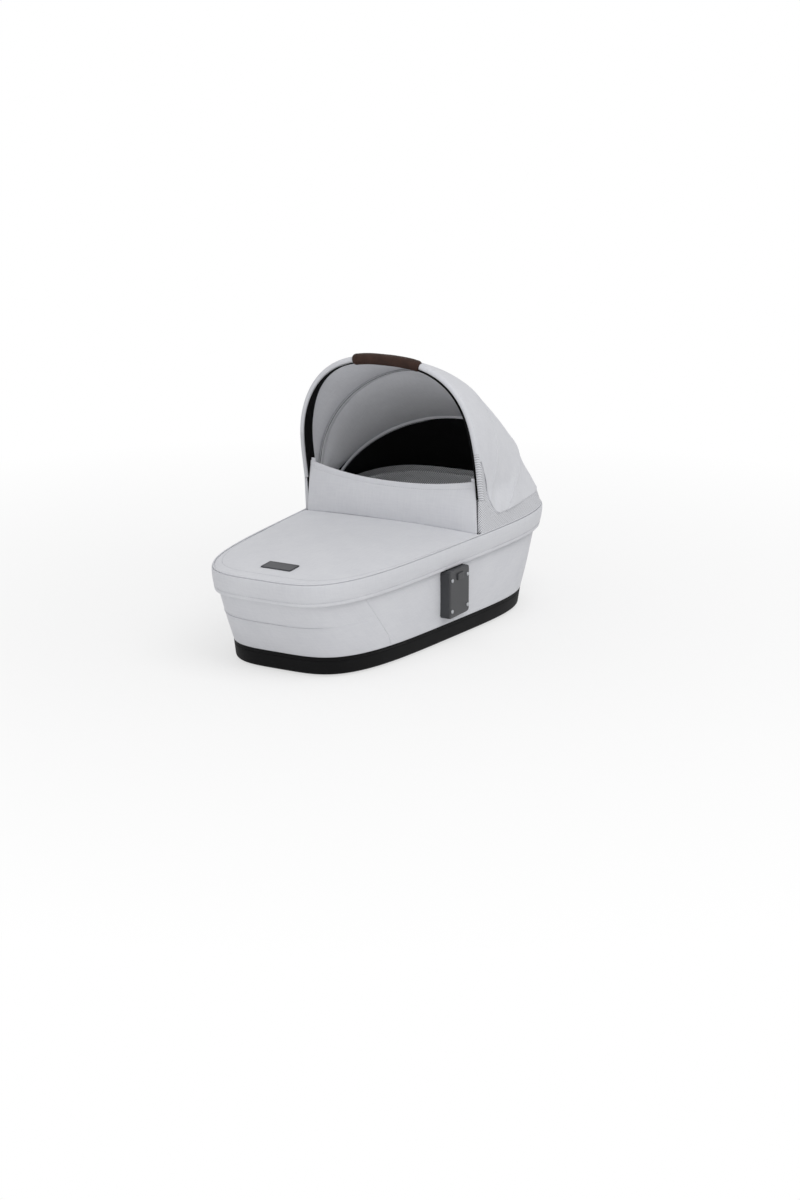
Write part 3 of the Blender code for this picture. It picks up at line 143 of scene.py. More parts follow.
def arch(half_span: float, foot: float, top: float, power: float, count: int) -> Array:
    """Returns an upright arch: a superellipse from foot to top over its half span.

    Args:
        half_span: half its width.
        foot: the height at which it springs.
        top: the height of its crown.
        power: the superellipse's power, 2 for a true ellipse.
        count: the number of points, from -X to +X.

    Returns:
        The points, count by 2, as x and height.
    """
    turn = np.linspace(math.pi, 0.0, count)
    x = half_span * np.sign(np.cos(turn)) * np.abs(np.cos(turn)) ** (2.0 / power)
    return np.column_stack([x, foot + (top - foot) * np.sin(turn) ** (2.0 / power)])


def linear(code: str) -> tuple[float, float, float, float]:
    """Turns an sRGB hex colour into linear RGBA.

    Args:
        code: six hex digits.

    Returns:
        The linear colour, opaque.
    """
    values = [int(code[i : i + 2], 16) / 255.0 for i in (0, 2, 4)]
    red, green, blue = (v / 12.92 if v <= 0.04045 else ((v + 0.055) / 1.055) ** 2.4 for v in values)
    return red, green, blue, 1.0


# Finishes


def add_node(
    tree: bpy.types.NodeTree, kind: str, feeds: Optional[dict[Any, Any]] = None, **settings: Any
) -> bpy.types.Node:
    """Adds a node with its settings and links.

    Args:
        tree: the material's node tree.
        kind: the node's type name after the word ShaderNode.
        feeds: an input's name or number, and its value or the output that feeds it.
        settings: the node's own properties.

    Returns:
        The new node.
    """
    made = tree.nodes.new(f"ShaderNode{kind}")
    for name, value in settings.items():
        setattr(made, name, value)
    for key, value in (feeds or {}).items():
        if isinstance(value, bpy.types.NodeSocket):
            tree.links.new(value, made.inputs[key])
        else:
            made.inputs[key].default_value = value
    return made


Adder = Callable[..., bpy.types.Node]


class Layers(NamedTuple):
    """The outputs of a finish's pattern, each from 0 to 1 apart from the roughness.

    share mixes the second colour, at 0, with the main one, at 1. height is raised by the finish's
    relief. roughness takes the even one's place where the finish is uneven in gloss.
    """

    share: Any
    height: Any
    roughness: Any = None


@dataclass(frozen=True)
class Finish:
    """A material: its main and second colour, its gloss, and a pattern from a real size.

    grain is the pattern's repeat in metres and relief its depth. gloss is the share of the usual
    reflection, 0.5 at full, and lower where a coarse or open surface shades its own gloss.
    """

    name: str
    colour: str
    second: str
    roughness: float
    grain: float
    relief: float
    metallic: float = 0.0
    sheen: float = 0.0
    gloss: float = 0.5
    laid_on: Layout = Layout.OBJECT

    def material(self) -> bpy.types.Material:
        """Makes the material once, with its pattern in colour, relief and gloss.

        Returns:
            The material, the same one at each call.
        """
        found = bpy.data.materials.get(self.name)
        if found:
            return found
        made = bpy.data.materials.new(self.name)
        made.use_nodes = True
        made.diffuse_color = linear(self.colour)
        tree = made.node_tree
        tree.nodes.clear()
        add = partial(add_node, tree)
        if self.laid_on is Layout.CLOTH:
            place = add("UVMap", uv_map=Layout.CLOTH.value).outputs["UV"]
        else:
            place = add("TexCoord").outputs["Object"]
        layers = self.pattern(add, place)
        feeds = {0: layers.share, 6: linear(self.second), 7: linear(self.colour)}
        mixed = add("Mix", feeds, data_type="RGBA").outputs[2]
        feeds = {"Strength": 1.0, "Distance": self.relief, "Height": layers.height}
        feeds = {"Base Color": mixed, "Normal": add("Bump", feeds).outputs["Normal"]}
        feeds |= {"Roughness": self.roughness, "Metallic": self.metallic}
        feeds |= {"Specular IOR Level": self.gloss}
        if self.sheen:
            feeds |= {"Sheen Weight": self.sheen, "Sheen Roughness": 0.5}
        shader = add("BsdfPrincipled", feeds)
        if layers.roughness is not None:
            tree.links.new(layers.roughness, shader.inputs["Roughness"])
        add("OutputMaterial", {"Surface": shader.outputs["BSDF"]})
        return made

    def pattern(self, add: Adder, place: Any) -> Layers:
        """Lays out the finish's own pattern. Each kind of finish has its own."""
        raise NotImplementedError


@dataclass(frozen=True)
class WovenCloth(Finish):
    """Plain weave: two sets of threads cross, each a sine wave across its own width.

    A slub is longer than wide by 1 / slub_share, and three grains wide.
    """

    laid_on: Layout = Layout.CLOTH
    slub_share: float = 0.12
    blotch: float = 0.06

    def pattern(self, add: Adder, place: Any) -> Layers:
        """Crosses two waves, and adds up slubs both ways and soft blotches.

        Args:
            add: adds a node to the material.
            place: the layout's output.

        Returns:
            The pattern's layers.
        """
        feeds = {"Vector": place, "Scale": math.pi / 10.0 / self.grain}
        waves = [add("TexWave", feeds, bands_direction=axis).outputs["Fac"] for axis in "XY"]
        cross = add("Math", {0: waves[0], 1: waves[1]}, operation="MULTIPLY").outputs[0]
        uneven = add("TexNoise", {"Vector": place, "Scale": 1.0 / self.blotch}).outputs["Fac"]
        for shape in ((self.slub_share, 1.0, 1.0), (1.0, self.slub_share, 1.0)):
            drawn = add("Mapping", {"Vector": place, "Scale": shape}).outputs["Vector"]
            feeds = {"Vector": drawn, "Scale": 1.0 / (3.0 * self.grain)}
            slub = add("TexNoise", feeds).outputs["Fac"]
            uneven = add("Math", {0: uneven, 1: slub}, operation="ADD").outputs[0]
        share = add("MapRange", {"Value": uneven, 1: 1.1, 2: 1.9}).outputs["Result"]
        return Layers(share, cross)


@dataclass(frozen=True)
class DottedKnit(Finish):
    """Spacer knit or net: small holes in staggered rows.

    A hole ends and its yarn starts at these shares of the repeat from the hole's middle.
    """

    laid_on: Layout = Layout.CLOTH
    hole_share: float = 0.22
    yarn_share: float = 0.42

    def pattern(self, add: Adder, place: Any) -> Layers:
        """Puts the holes in the middles of an even cell pattern turned by 45 degrees.

        Args:
            add: adds a node to the material.
            place: the layout's output.

        Returns:
            The pattern's layers.
        """
        turn = (0.0, 0.0, math.radians(45.0))
        turned = add("Mapping", {"Vector": place, "Rotation": turn}).outputs["Vector"]
        feeds = {"Vector": turned, "Scale": 1.0 / self.grain, "Randomness": 0.0}
        cell = add("TexVoronoi", feeds, voronoi_dimensions="2D").outputs["Distance"]
        feeds = {"Value": cell, 1: self.hole_share, 2: self.yarn_share}
        yarn = add("MapRange", feeds).outputs["Result"]
        return Layers(yarn, yarn)


@dataclass(frozen=True)
class Ticking(Finish):
    """Cotton ticking: a close weave with faint woven stripes along the mattress."""

    weave: float = 0.0012

    def pattern(self, add: Adder, place: Any) -> Layers:
        """Makes the stripes of a steep wave on X, and the weave of fine noise.

        Args:
            add: adds a node to the material.
            place: the layout's output.

        Returns:
            The pattern's layers.
        """
        feeds = {"Vector": place, "Scale": math.pi / 10.0 / self.grain}
        wave = add("TexWave", feeds, bands_direction="X").outputs["Fac"]
        ground = add("MapRange", {"Value": wave, 1: 0.55, 2: 0.75, 3: 1.0, 4: 0.0})
        feeds = {"Vector": place, "Scale": 1.0 / self.weave, "Detail": 3.0}
        return Layers(ground.outputs["Result"], add("TexNoise", feeds).outputs["Fac"])


@dataclass(frozen=True)
class Leatherette(Finish):
    """Coated fabric with a pressed leather grain: rounded cells, with painted shade in the creases between.
    """

    crease_share: float = 0.22
    wear: float = 0.02
    polish: float = 0.06

    def pattern(self, add: Adder, place: Any) -> Layers:
        """Takes the distance to the cells' edges as grain and as painted crease shade, and slow noise as
        handling wear.

        Args:
            add: adds a node to the material.
            place: the layout's output.

        Returns:
            The pattern's layers.
        """
        feeds = {"Vector": place, "Scale": 1.0 / self.grain}
        cell = add("TexVoronoi", feeds, feature="DISTANCE_TO_EDGE").outputs["Distance"]
        swell = add("MapRange", {"Value": cell, 1: 0.0, 2: self.crease_share}).outputs["Result"]
        slow = add("TexNoise", {"Vector": place, "Scale": 1.0 / self.wear}).outputs["Fac"]
        worn = add("MapRange", {"Value": slow, 1: 0.3, 2: 0.7, 3: 0.35, 4: 1.0}).outputs["Result"]
        # The creases take the dark second colour as painted shade; the slow wear noise adds real random
        # tone on top.
        share = add("Math", {0: swell, 1: worn}, operation="MULTIPLY").outputs[0]
        feeds = {"Value": worn, 1: 0.35, 2: 1.0}
        feeds |= {3: self.roughness + self.polish, 4: self.roughness - self.polish}
        return Layers(share, swell, add("MapRange", feeds).outputs["Result"])


@dataclass(frozen=True)
class Grained(Finish):
    """A surface with one noise for its grain, uneven in colour and gloss.

    The roughness lies between smoother below and rougher above the finish's own.
    """

    smoother: float = 0.04
    rougher: float = 0.05

    def uneven(self, add: Adder, slow: Any, fine: Any) -> Layers:
        """Spreads the middle of one noise over colour and gloss, and raises the other.

        Args:
            add: adds a node to the material.
            slow: the noise in colour and gloss.
            fine: the noise in relief.

        Returns:
            The pattern's layers.
        """
        low, high = self.roughness - self.smoother, self.roughness + self.rougher
        share, rough = (
            add("MapRange", {"Value": slow, 1: 0.3, 2: 0.7, 3: start, 4: end}).outputs["Result"]
            for start, end in ((0.0, 1.0), (low, high))
        )
        return Layers(share, fine, rough)


@dataclass(frozen=True)
class Moulded(Grained):
    """Moulded plastic or rubber: a fine spark-eroded grain, a little uneven in gloss."""

    patch: float = 0.045

    def pattern(self, add: Adder, place: Any) -> Layers:
        """Takes fine noise as grain, and slow noise for colour and gloss.

        Args:
            add: adds a node to the material.
            place: the layout's output.

        Returns:
            The pattern's layers.
        """
        feeds = {"Vector": place, "Scale": 1.0 / self.grain, "Detail": 3.0}
        fine = add("TexNoise", feeds).outputs["Fac"]
        slow = add("TexNoise", {"Vector": place, "Scale": 1.0 / self.patch}).outputs["Fac"]
        return self.uneven(add, slow, fine)


@dataclass(frozen=True)
class DrawnMetal(Grained):
    """Metal drawn or rolled along X: fine lines in gloss and relief, 20 times as long as wide."""

    metallic: float = 1.0
    smoother: float = 0.06
    rougher: float = 0.08

    def pattern(self, add: Adder, place: Any) -> Layers:
        """Draws out noise along X.

        Args:
            add: adds a node to the material.
            place: the layout's output.

        Returns:
            The pattern's layers.
        """
        drawn = add("Mapping", {"Vector": place, "Scale": (0.05, 1.0, 1.0)}).outputs["Vector"]
        feeds = {"Vector": drawn, "Scale": 1.0 / self.grain, "Detail": 3.0}
        lines = add("TexNoise", feeds).outputs["Fac"]
        return self.uneven(add, lines, lines)


# Woven from 0.6 mm melange yarn, and drawn at 1.1 mm so that it shows: soft and matt, with a faint
# bloom and slubs both ways.
SHELL_CLOTH = WovenCloth(
    "woven_polyester_melange", "D4D5D9", "CDCED3", 0.86, 0.0011, 0.00007, sheen=0.12
)
# The hood's lining, woven closer and drawn at 0.9 mm: flat and matt, its colour lightened past the shell's
# as painted light for the shaded inside of the hood.
HOOD_LINING_PAINTED_LIGHT = WovenCloth("woven_polyester_lining", "E4E5E9", "DBDCE0", 0.9, 0.0009, 0.0001)
# Dark grey cord in the middle hoop's lining seam: painted seam shadow, a dull line rather than a shine.
SEAM_SHADOW_CORD = Moulded("painted_seam_shadow_cord", "5E5F62", "525356", 0.85, 0.0006, 0.00005)
# Spacer knit with 2 mm holes, drawn at 3.4 mm: the holes read as rows of grey dots.
SKIRT_KNIT = DottedKnit("spacer_knit_polyester", "DDDEE2", "8E8F94", 0.9, 0.0034, 0.0003)
# Warp-knit net of black yarn, 2.4 mm repeat: deep black, with nearly no gloss.
BLACK_NET = DottedKnit("warp_knit_net", "0C0C0D", "040404", 0.85, 0.0024, 0.0003, gloss=0.12)
# Spacer knit of a closer gauge, its 1.5 mm holes drawn at 3 mm: soft dots on a ground lightened past the
# real mid grey, as painted light for the shaded inside.
LINING_KNIT_PAINTED_LIGHT = DottedKnit("spacer_knit_lining", "F0F1F3", "8E8F94", 0.95, 0.0030, 0.0003)
# Cotton woven in 9 mm stripes, its threads drawn at 1.2 mm: matt, with the stripes hardly seen.
MATTRESS_TICKING = Ticking("cotton_ticking", "E4E3DF", "D6D6D4", 0.92, 0.009, 0.00015)
# Polyurethane coat with a pressed grain of 1.3 mm: satin, polished by hands, with painted shade in its
# creases.
GRIP_LEATHERETTE = Leatherette(
    "polyurethane_leatherette", "432A1E", "26160F", 0.55, 0.0013, 0.0002, gloss=0.22
)
# Injection moulded in a coarsely textured tool, its grain drawn at 0.9 mm: the pits swallow most
# of the gloss and keep it black.
BLACK_ABS = Moulded("moulded_abs_black", "121213", "0E0E0F", 0.6, 0.0009, 0.00005, gloss=0.09)
# Injection moulded in a finer tool: a soft shine on the dark grey.
DARK_ABS = Moulded("moulded_abs_dark_grey", "343538", "2F3033", 0.44, 0.0009, 0.00005)
# Injection moulded with glass fibre, which dulls the skin: plain and slightly cloudy.
FRAME_NYLON = Moulded("moulded_glass_filled_nylon", "47484A", "404143", 0.55, 0.0012, 0.00006)
# Pressed from extruded sheet: smooth and waxy, with slow waves.
BOARD_SHEET = Moulded("pressed_polypropylene_sheet", "8D8E90", "858688", 0.6, 0.002, 0.00008)
# Compression moulded: dull and nearly even.
FOOT_RUBBER = Moulded("moulded_rubber", "1C1C1C", "171717", 0.8, 0.0008, 0.00008)
# Tube drawn through a die and anodised: satin, with fine lines along it.
TUBE_ALUMINIUM = DrawnMetal("anodised_aluminium_tube", "C9CACC", "BFC0C3", 0.36, 0.0006, 0.00002)
# Turned from drawn bar and zinc plated: bright, with fine lines.
PLATED_STEEL = DrawnMetal("zinc_plated_steel", "B7B9BC", "A9ABAF", 0.32, 0.0005, 0.00002)
# Rolled plate, brushed and dyed in the anodising bath: a dim grey sheen.
BADGE_PLATE = DrawnMetal("anodised_aluminium_plate", "525357", "4B4C50", 0.45, 0.0005, 0.00002)
# Twisted thread of the cloth's own colour, a step darker: matt, each stitch a small shade.
SEAM_THREAD = Moulded("polyester_thread", "BFC0C5", "B6B7BC", 0.8, 0.0006, 0.00005)


# Meshes


class Skin:
    """Gathers grids of points, with their quads and UVs, and makes one mesh of them."""

    def __init__(self) -> None:
        """Starts with nothing."""
        self.points: list[Array] = []
        self.uvs: list[Array] = []
        self.quads: list[Array] = []
        self.loops: list[Array] = []
        self.slots: list[Array] = []
        self.caps: list[Array] = []
        self.count = 0

    def grid(
        self,
        points: Array,
        slot: int = 0,
        close_rows: bool = False,
        close_columns: bool = False,
        uv: Optional[Array] = None,
    ) -> Array:
        """Adds a grid of points and the quads between neighbours.

        The UV is the distance along each row from its middle, and down each column.

        Args:
            points: rows by columns by 3.
            slot: the material slot's number.
            close_rows: whether the last row joins the first.
            close_columns: whether the last column joins the first.
            uv: the UV of each point, where the distances don't serve.

        Returns:
            The points' numbers, rows by columns.
        """
        rows, columns = points.shape[:2]
        padding = ((0, int(close_rows)), (0, int(close_columns)))
        if uv is None:
            padded = np.pad(points, padding + ((0, 0),), mode="wrap")
            across = np.linalg.norm(np.diff(padded, axis=1), axis=2).cumsum(axis=1)
            down = np.linalg.norm(np.diff(padded, axis=0), axis=2).cumsum(axis=0)
            across = np.pad(across, ((0, 0), (1, 0)))
            across -= across[:, [across.shape[1] // 2]]
            uv = np.stack([across, np.pad(down, ((1, 0), (0, 0)))], axis=-1)
        number = self.count + np.arange(rows * columns).reshape(rows, columns)
        wrapped = np.pad(number, padding, mode="wrap")
        start, end = slice(None, -1), slice(1, None)
        corners = [(start, start), (start, end), (end, end), (end, start)]
        quads = np.stack([wrapped[c] for c in corners], axis=-1).reshape(-1, 4)
        self.add(quads, np.stack([uv[c] for c in corners], axis=-2), slot)
        self.points.append(points.reshape(-1, 3))
        self.uvs.append(uv[:rows, :columns].reshape(-1, 2))
        self.count += rows * columns
        return number

    def add(self, quads: Array, loops: Array, slot: int = 0) -> None:
        """Adds quads between points that are already in.

        Args:
            quads: the points' numbers, quads by 4.
            loops: the UV at each of their corners.
            slot: the material slot's number.
        """
        self.quads.append(quads)
        self.loops.append(loops.reshape(-1, 2))
        self.slots.append(np.full(len(quads), slot))

    def bridge(self, first: Array, second: Array, slot: int = 0) -> None:
        """Adds the quads between two closed lines of points that are already in.

        Args:
            first: the first line's point numbers.
            second: the second line's, as many.
            slot: the material slot's number.
        """
        after = np.roll(first, -1), np.roll(second, -1)
        quads = np.stack([first, after[0], after[1], second], axis=-1)
        self.add(quads, np.concatenate(self.uvs)[quads], slot)

    def cap(self, number: Array) -> None:
        """Closes the first and last ring of a grid of point numbers with a face each."""
        self.caps += [number[0], number[-1]]

    def make(self, name: str, finishes: Sequence[Finish], sharp: float) -> Piece:
        """Makes the object, with faces outward.

        Args:
            name: the piece's name.
            finishes: the finish of each material slot.
            sharp: the angle in degrees over which an edge is kept crisp.

        Returns:
            The piece.
        """
        points, uvs = np.concatenate(self.points), np.concatenate(self.uvs)
        faces = np.concatenate(self.quads).tolist() + [ring.tolist() for ring in self.caps]
        mesh = bpy.data.meshes.new(name)
        mesh.from_pydata(points.tolist(), [], faces)
        layer = mesh.uv_layers.new(name=Layout.CLOTH.value)
        loops = np.concatenate(self.loops + [uvs[ring] for ring in self.caps])
        layer.data.foreach_set("uv", loops.astype(np.float32).ravel())
        slots = np.pad(np.concatenate(self.slots), (0, len(self.caps))).astype(np.int32)
        mesh.polygons.foreach_set("material_index", slots)
        for finish in finishes:
            mesh.materials.append(finish.material())
        build = bmesh.new()
        build.from_mesh(mesh)
        bmesh.ops.poke(build, faces=[face for face in build.faces if len(face.verts) > 4])
        bmesh.ops.recalc_face_normals(build, faces=build.faces)
        build.to_mesh(mesh)
        build.free()
        mesh.shade_smooth()
        mesh.set_sharp_from_angle(angle=math.radians(sharp))
        made = bpy.data.objects.new(name, mesh)
        bpy.context.scene.collection.objects.link(made)
        return made


def grid_normals(grid: Array, closed: bool = False) -> Array:
    """Returns the direction square to a grid: its row step crossed with its column step."""
    across = np.roll(grid, -1, 1) - np.roll(grid, 1, 1) if closed else np.gradient(grid, axis=1)
    return unit(np.cross(np.gradient(grid, axis=0), across))


def cut_of(grid: Array) -> dict[str, Any]:
    """Measures the flat cut of a cloth.

    The size is the longest column by the longest row, and the area is half the cross product of
    each quad's diagonals, summed.

    Args:
        grid: the cloth's face, rows by columns by 3.

    Returns:
        The flat size and the area, under the keys flat and area.
    """
    down = np.linalg.norm(np.diff(grid, axis=0), axis=2).sum(axis=0).max()
    across = np.linalg.norm(np.diff(grid, axis=1), axis=2).sum(axis=1).max()
    one, two = grid[1:, 1:] - grid[:-1, :-1], grid[1:, :-1] - grid[:-1, 1:]
    area = np.linalg.norm(np.cross(one, two), axis=2).sum() / 2.0
    return {"flat": (float(down), float(across)), "area": float(area)}


def border(grid: Array) -> Array:
    """Returns a grid's border in order, all the way round."""
    return np.concatenate([grid[0], grid[1:, -1], grid[-1, -2::-1], grid[-2:0:-1, 0]])


def cloth_sheet(
    name: str,
    outer: Array,
    thickness: Any,
    finishes: Sequence[Finish],
    turn: float = -1.0,
    closed: bool = False,
    uv: Optional[Array] = None,
) -> Piece:
    """Makes a closed sheet with rounded edges from its outer face.

    The inner face lies a thickness along the normal from the outer one, and each edge is half a
    circle of that diameter.

    Args:
        name: the piece's name.
        outer: the outer face, rows by columns by 3.
        thickness: the cloth's thickness, a number or one for each point.
        finishes: the outer finish, and the inner one if it differs.
        turn: -1 where the grid's own normal points inwards.
        closed: whether the sheet runs all the way round in its columns.
        uv: the UV of each point, where the distances don't serve.

    Returns:
        The piece.
    """
    size = np.broadcast_to(np.asarray(thickness, float)[..., None], outer.shape[:2] + (1,))
    normal, out = grid_normals(outer, closed) * turn, np.zeros_like(outer)
    out[0], out[-1] = unit(outer[0] - outer[1]), unit(outer[-1] - outer[-2])
    if not closed:
        out[:, 0] += unit(outer[:, 0] - outer[:, 1])
        out[:, -1] += unit(outer[:, -1] - outer[:, -2])
    out = unit(out)
    inner = outer - normal * size
    skin, lining = Skin(), len(finishes) - 1
    first = skin.grid(outer, 0, close_columns=closed, uv=uv)
    second = skin.grid(inner, lining, close_columns=closed, uv=uv)
    steps = np.radians([135.0, 90.0, 45.0])[:, None, None]
    edges = [lambda values: values[0], lambda values: values[-1]] if closed else [border]
    for edge in edges:
        middle, half = (edge(outer) + edge(inner)) / 2.0, edge(size) / 2.0
        bend = middle + half * (-np.cos(steps) * edge(normal) + np.sin(steps) * edge(out))
        rim = skin.grid(bend, 0, close_columns=True)
        skin.bridge(edge(first), rim[0])
        skin.bridge(rim[-1], edge(second))
    return skin.make(name, finishes, 60.0)


def swept(skin: Skin, path: Array, up: Array, profile: Array, closed: bool = False) -> None:
    """Adds a profile carried along a path.

    At each point the profile's first number runs along tangent x up, its second along up.

    Args:
        skin: what the sweep is added to.
        path: the path's points.
        up: the profile's up direction at each.
        profile: the profile, points by 2.
        closed: whether the path's end joins its start.
    """
    forward = tangents(path, closed)
    up = unit(up - (up * forward).sum(axis=1, keepdims=True) * forward)
    side = np.cross(forward, up)
    rings = path[:, None] + profile[:, :1] * side[:, None] + profile[:, 1:] * up[:, None]
    number = skin.grid(rings, close_rows=closed, close_columns=True)
    if not closed:
        skin.cap(number)


def circle(radius: float, sides: int = 10) -> Array:
    """Returns a round profile."""
    turn = np.arange(sides) * 2.0 * math.pi / sides
    return radius * np.stack([np.cos(turn), np.sin(turn)], axis=-1)


def round_rings(path: Array, out: Array, sides: int) -> Array:
    """Returns rings of directions about a path, the first along out."""
    across, turn = np.cross(tangents(path, False), out), circle(1.0, sides)
    return turn[None, :, :1] * out[:, None] + turn[None, :, 1:] * across[:, None]


def tube(face: Array, bore: Array) -> Skin:
    """Returns a tube between an outer and an inner grid of rings, with both ends closed.

    Args:
        face: the outer rings, rings by points by 3.
        bore: the inner rings, as many.

    Returns:
        The tube's skin.
    """
    skin = Skin()
    first, second = (skin.grid(rings, close_columns=True) for rings in (face, bore))
    skin.bridge(first[0], second[0])
    skin.bridge(first[-1], second[-1])
    return skin


def piping(
    name: str, path: Array, up: Array, radius: float, finish: Finish, closed: bool = False
) -> Piece:
    """Makes a round piping along a path.

    Args:
        name: the piece's name.
        path: the path's points.
        up: a direction square to the path, one for all or one at each point.
        radius: the piping's radius.
        finish: its cloth.
        closed: whether the path's end joins its start.

    Returns:
        The piece.
    """
    skin = Skin()
    swept(skin, path, np.broadcast_to(up, path.shape), circle(radius), closed)
    return skin.make(name, [finish], 80.0)


def stitch_row(name: str, path: Array, up: Array, pitch: float = 0.0042) -> Piece:
    """Makes a row of thread stitches on a path.

    Each is a spindle of four sides and five rings, whose radius is a share of the thread's, half
    sunk in the cloth. It is about two thirds of the pitch long.

    Args:
        name: the piece's name.
        path: the seam's points, on the cloth.
        up: the cloth's outward direction, one for all or one at each point.
        pitch: the distance from stitch to stitch.

    Returns:
        The piece.
    """
    thread, sunk, long_share = 0.00042, 0.0001, 0.66
    run = run_length(path)
    wanted = (np.arange(int(run[-1] / pitch)) + 0.5) * pitch
    centre = at_distances(path, wanted)
    ends = [at_distances(path, wanted + step * pitch / 4.0) for step in (1.0, -1.0)]
    forward = unit(ends[0] - ends[1])
    rows = [np.interp(wanted, run, column) for column in np.broadcast_to(up, path.shape).T]
    lift = unit(np.stack(rows, axis=-1))
    side = unit(np.cross(forward, lift))
    along = np.array([-0.5, -0.38, 0.0, 0.38, 0.5]) * pitch * long_share
    radius = np.array([0.25, 0.8, 1.0, 0.8, 0.25]) * thread
    turn = circle(1.0, 4)
    ring = turn[:, :1] * side[:, None, None] + turn[:, 1:] * lift[:, None, None]
    points = centre[:, None, None] + along[:, None, None] * forward[:, None, None]
    points = points + radius[:, None, None] * ring + sunk * lift[:, None, None]
    index = np.arange(20).reshape(5, 4)
    one, two = index, np.roll(index, -1, axis=1)
    shell = np.stack([one[:-1], two[:-1], two[1:], one[1:]], axis=-1).reshape(-1, 4)
    quads = np.concatenate([shell, index[:1], index[-1:]])
    every = (quads[None] + 20 * np.arange(len(centre))[:, None, None]).reshape(-1, 4)
    skin = Skin()
    skin.points, skin.uvs = [points.reshape(-1, 3)], [np.zeros((20 * len(centre), 2))]
    skin.add(every, np.zeros((len(every), 4, 2)))
    return skin.make(name, [SEAM_THREAD], 80.0)


def settle(piece: Piece, body: str, slot: str, *nodes: str) -> Piece:
    """Lets a piece ride on a body.

    Args:
        piece: the piece.
        body: the body's name.
        slot: the piece's slot in the record; not used.
        nodes: the frame's nodes that it stands for.

    Returns:
        The piece.
    """
    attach(piece, body)
    if nodes:
        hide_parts(*nodes)
    LOG.info("%s: %d faces on %s", piece.name, len(piece.data.polygons), body)
    return piece


# Tub


@dataclass(frozen=True)
class Outline:
    """A rounded box seen from above, wider at the head end than at the foot end.

    Its sizes may be columns of numbers, one for each row of a grid. The taper is the share by
    which it widens over taper_reach.
    """

    half_width: Any
    foot_reach: Any
    head_reach: Any
    power: float = 3.95
    taper: Any = 0.16
    taper_reach: float = 0.4

    def inset(self, by: Any) -> "Outline":
        """Returns the same outline, drawn in all round."""
        drawn = {name: getattr(self, name) - by for name in ("half_width", "foot_reach", "head_reach")}
        return replace(self, **drawn)

    def blend(self, other: "Outline", share: Any) -> "Outline":
        """Returns the outline a share of the way to another one."""
        names = ("half_width", "foot_reach", "head_reach", "taper")
        return replace(
            self, **{n: (1.0 - share) * getattr(self, n) + share * getattr(other, n) for n in names}
        )

    def widened(self, x: Any, y: Any) -> Any:
        """Returns x as the taper makes it at this Y."""
        return x * (1.0 + self.taper * y / self.taper_reach)

    def at(self, turn: Array) -> Array:
        """Works out the outline by a superellipse.

        x and y are the reaches times |cos| and |sin| to the power 2 / power, and x grows with y.

        Args:
            turn: the angles from +X.

        Returns:
            The points, with x and y as the last axis.
        """
        cosine, sine = np.cos(turn), np.sin(turn)
        reach = np.where(sine > 0.0, self.head_reach, self.foot_reach)
        y = reach * np.sign(sine) * np.abs(sine) ** (2.0 / self.power)
        x = self.half_width * np.sign(cosine) * np.abs(cosine) ** (2.0 / self.power)
        return np.stack(np.broadcast_arrays(self.widened(x, y), y), axis=-1)

    def half_width_at(self, y: Any) -> Array:
        """Works out how far the side stands from the middle plane.

        Args:
            y: the places along the outline.

        Returns:
            The distance at each.
        """
        y = np.asarray(y, float)
        reach = np.where(y > 0.0, self.head_reach, self.foot_reach)
        sine = np.clip(np.abs(y) / reach, 0.0, 1.0) ** (self.power / 2.0)
        return self.widened(self.half_width * (1.0 - sine**2) ** (1.0 / self.power), y)

    def level(self, height: Any, turn: Array) -> Array:
        """Returns a grid of points at these heights and angles."""
        flat = self.at(turn)
        return np.concatenate([flat, np.broadcast_to(height, flat.shape[:-1])[..., None]], axis=-1)

    def round_head(self, start_y: float, count: int) -> tuple[Array, Array]:
        """Lays out a line round the head end, from -X to +X.

        Args:
            start_y: where it starts and ends.
            count: the number of points.

        Returns:
            The evenly spaced points, and the level step inwards at each.
        """
        dense = self.at(np.linspace(math.pi, 0.0, 40 * count))
        at = evenly(dense[dense[:, 1] >= start_y], count)
        step = np.gradient(at, axis=0)
        return at, unit(np.stack([step[:, 1], -step[:, 0]], axis=-1))


@dataclass(frozen=True)
class TubShape:
    """The tub's outer faces: tray, wall and rim, as outlines at each height."""

    rim: Outline = Outline(0.187, 0.4, 0.4)
    tray: Outline = Outline(0.177, 0.338, 0.318, taper=0.203)
    band_step: float = 0.011
    tray_draft: float = 0.004
    floor: float = 0.003
    tray_top: float = 0.037
    hem: float = 0.142
    seam: float = 0.184
    frame_inset: float = 0.0025
    apron_crown: float = 0.010

    def wall(self, height: Any) -> Outline:
        """Works out the outer face: the tray's draft, then a straight blend to the band's hem.

        Args:
            height: the heights, a number or a column of them.

        Returns:
            The outline at these heights.
        """
        height = np.asarray(height, float)
        share = np.clip((height - self.tray_top) / (self.hem - self.tray_top), 0.0, 1.0)
        below = np.clip((self.tray_top - height) / (self.tray_top - self.floor), 0.0, 1.0)
        return self.tray.blend(self.rim.inset(self.band_step), share).inset(self.tray_draft * below)

    def turns(self, count: int) -> Array:
        """Finds angles that are evenly spaced along the rim.

        Args:
            count: how many.

        Returns:
            The angles.
        """
        dense = np.linspace(0.0, 2.0 * math.pi, 20001)
        run = run_length(self.rim.at(dense))
        return np.interp(np.linspace(0.0, run[-1], count, endpoint=False), run, dense)

    def apron_height(self, across: Any, y: Any) -> Array:
        """Returns the apron's height: a crown that fades to both sides and to the foot end."""
        fall = 1.0 - np.clip(-np.asarray(y) / self.rim.foot_reach, 0.0, 1.0) ** 6.0
        return self.seam + self.apron_crown * (1.0 - np.abs(across) ** 2.4) * fall


SHAPE = TubShape()


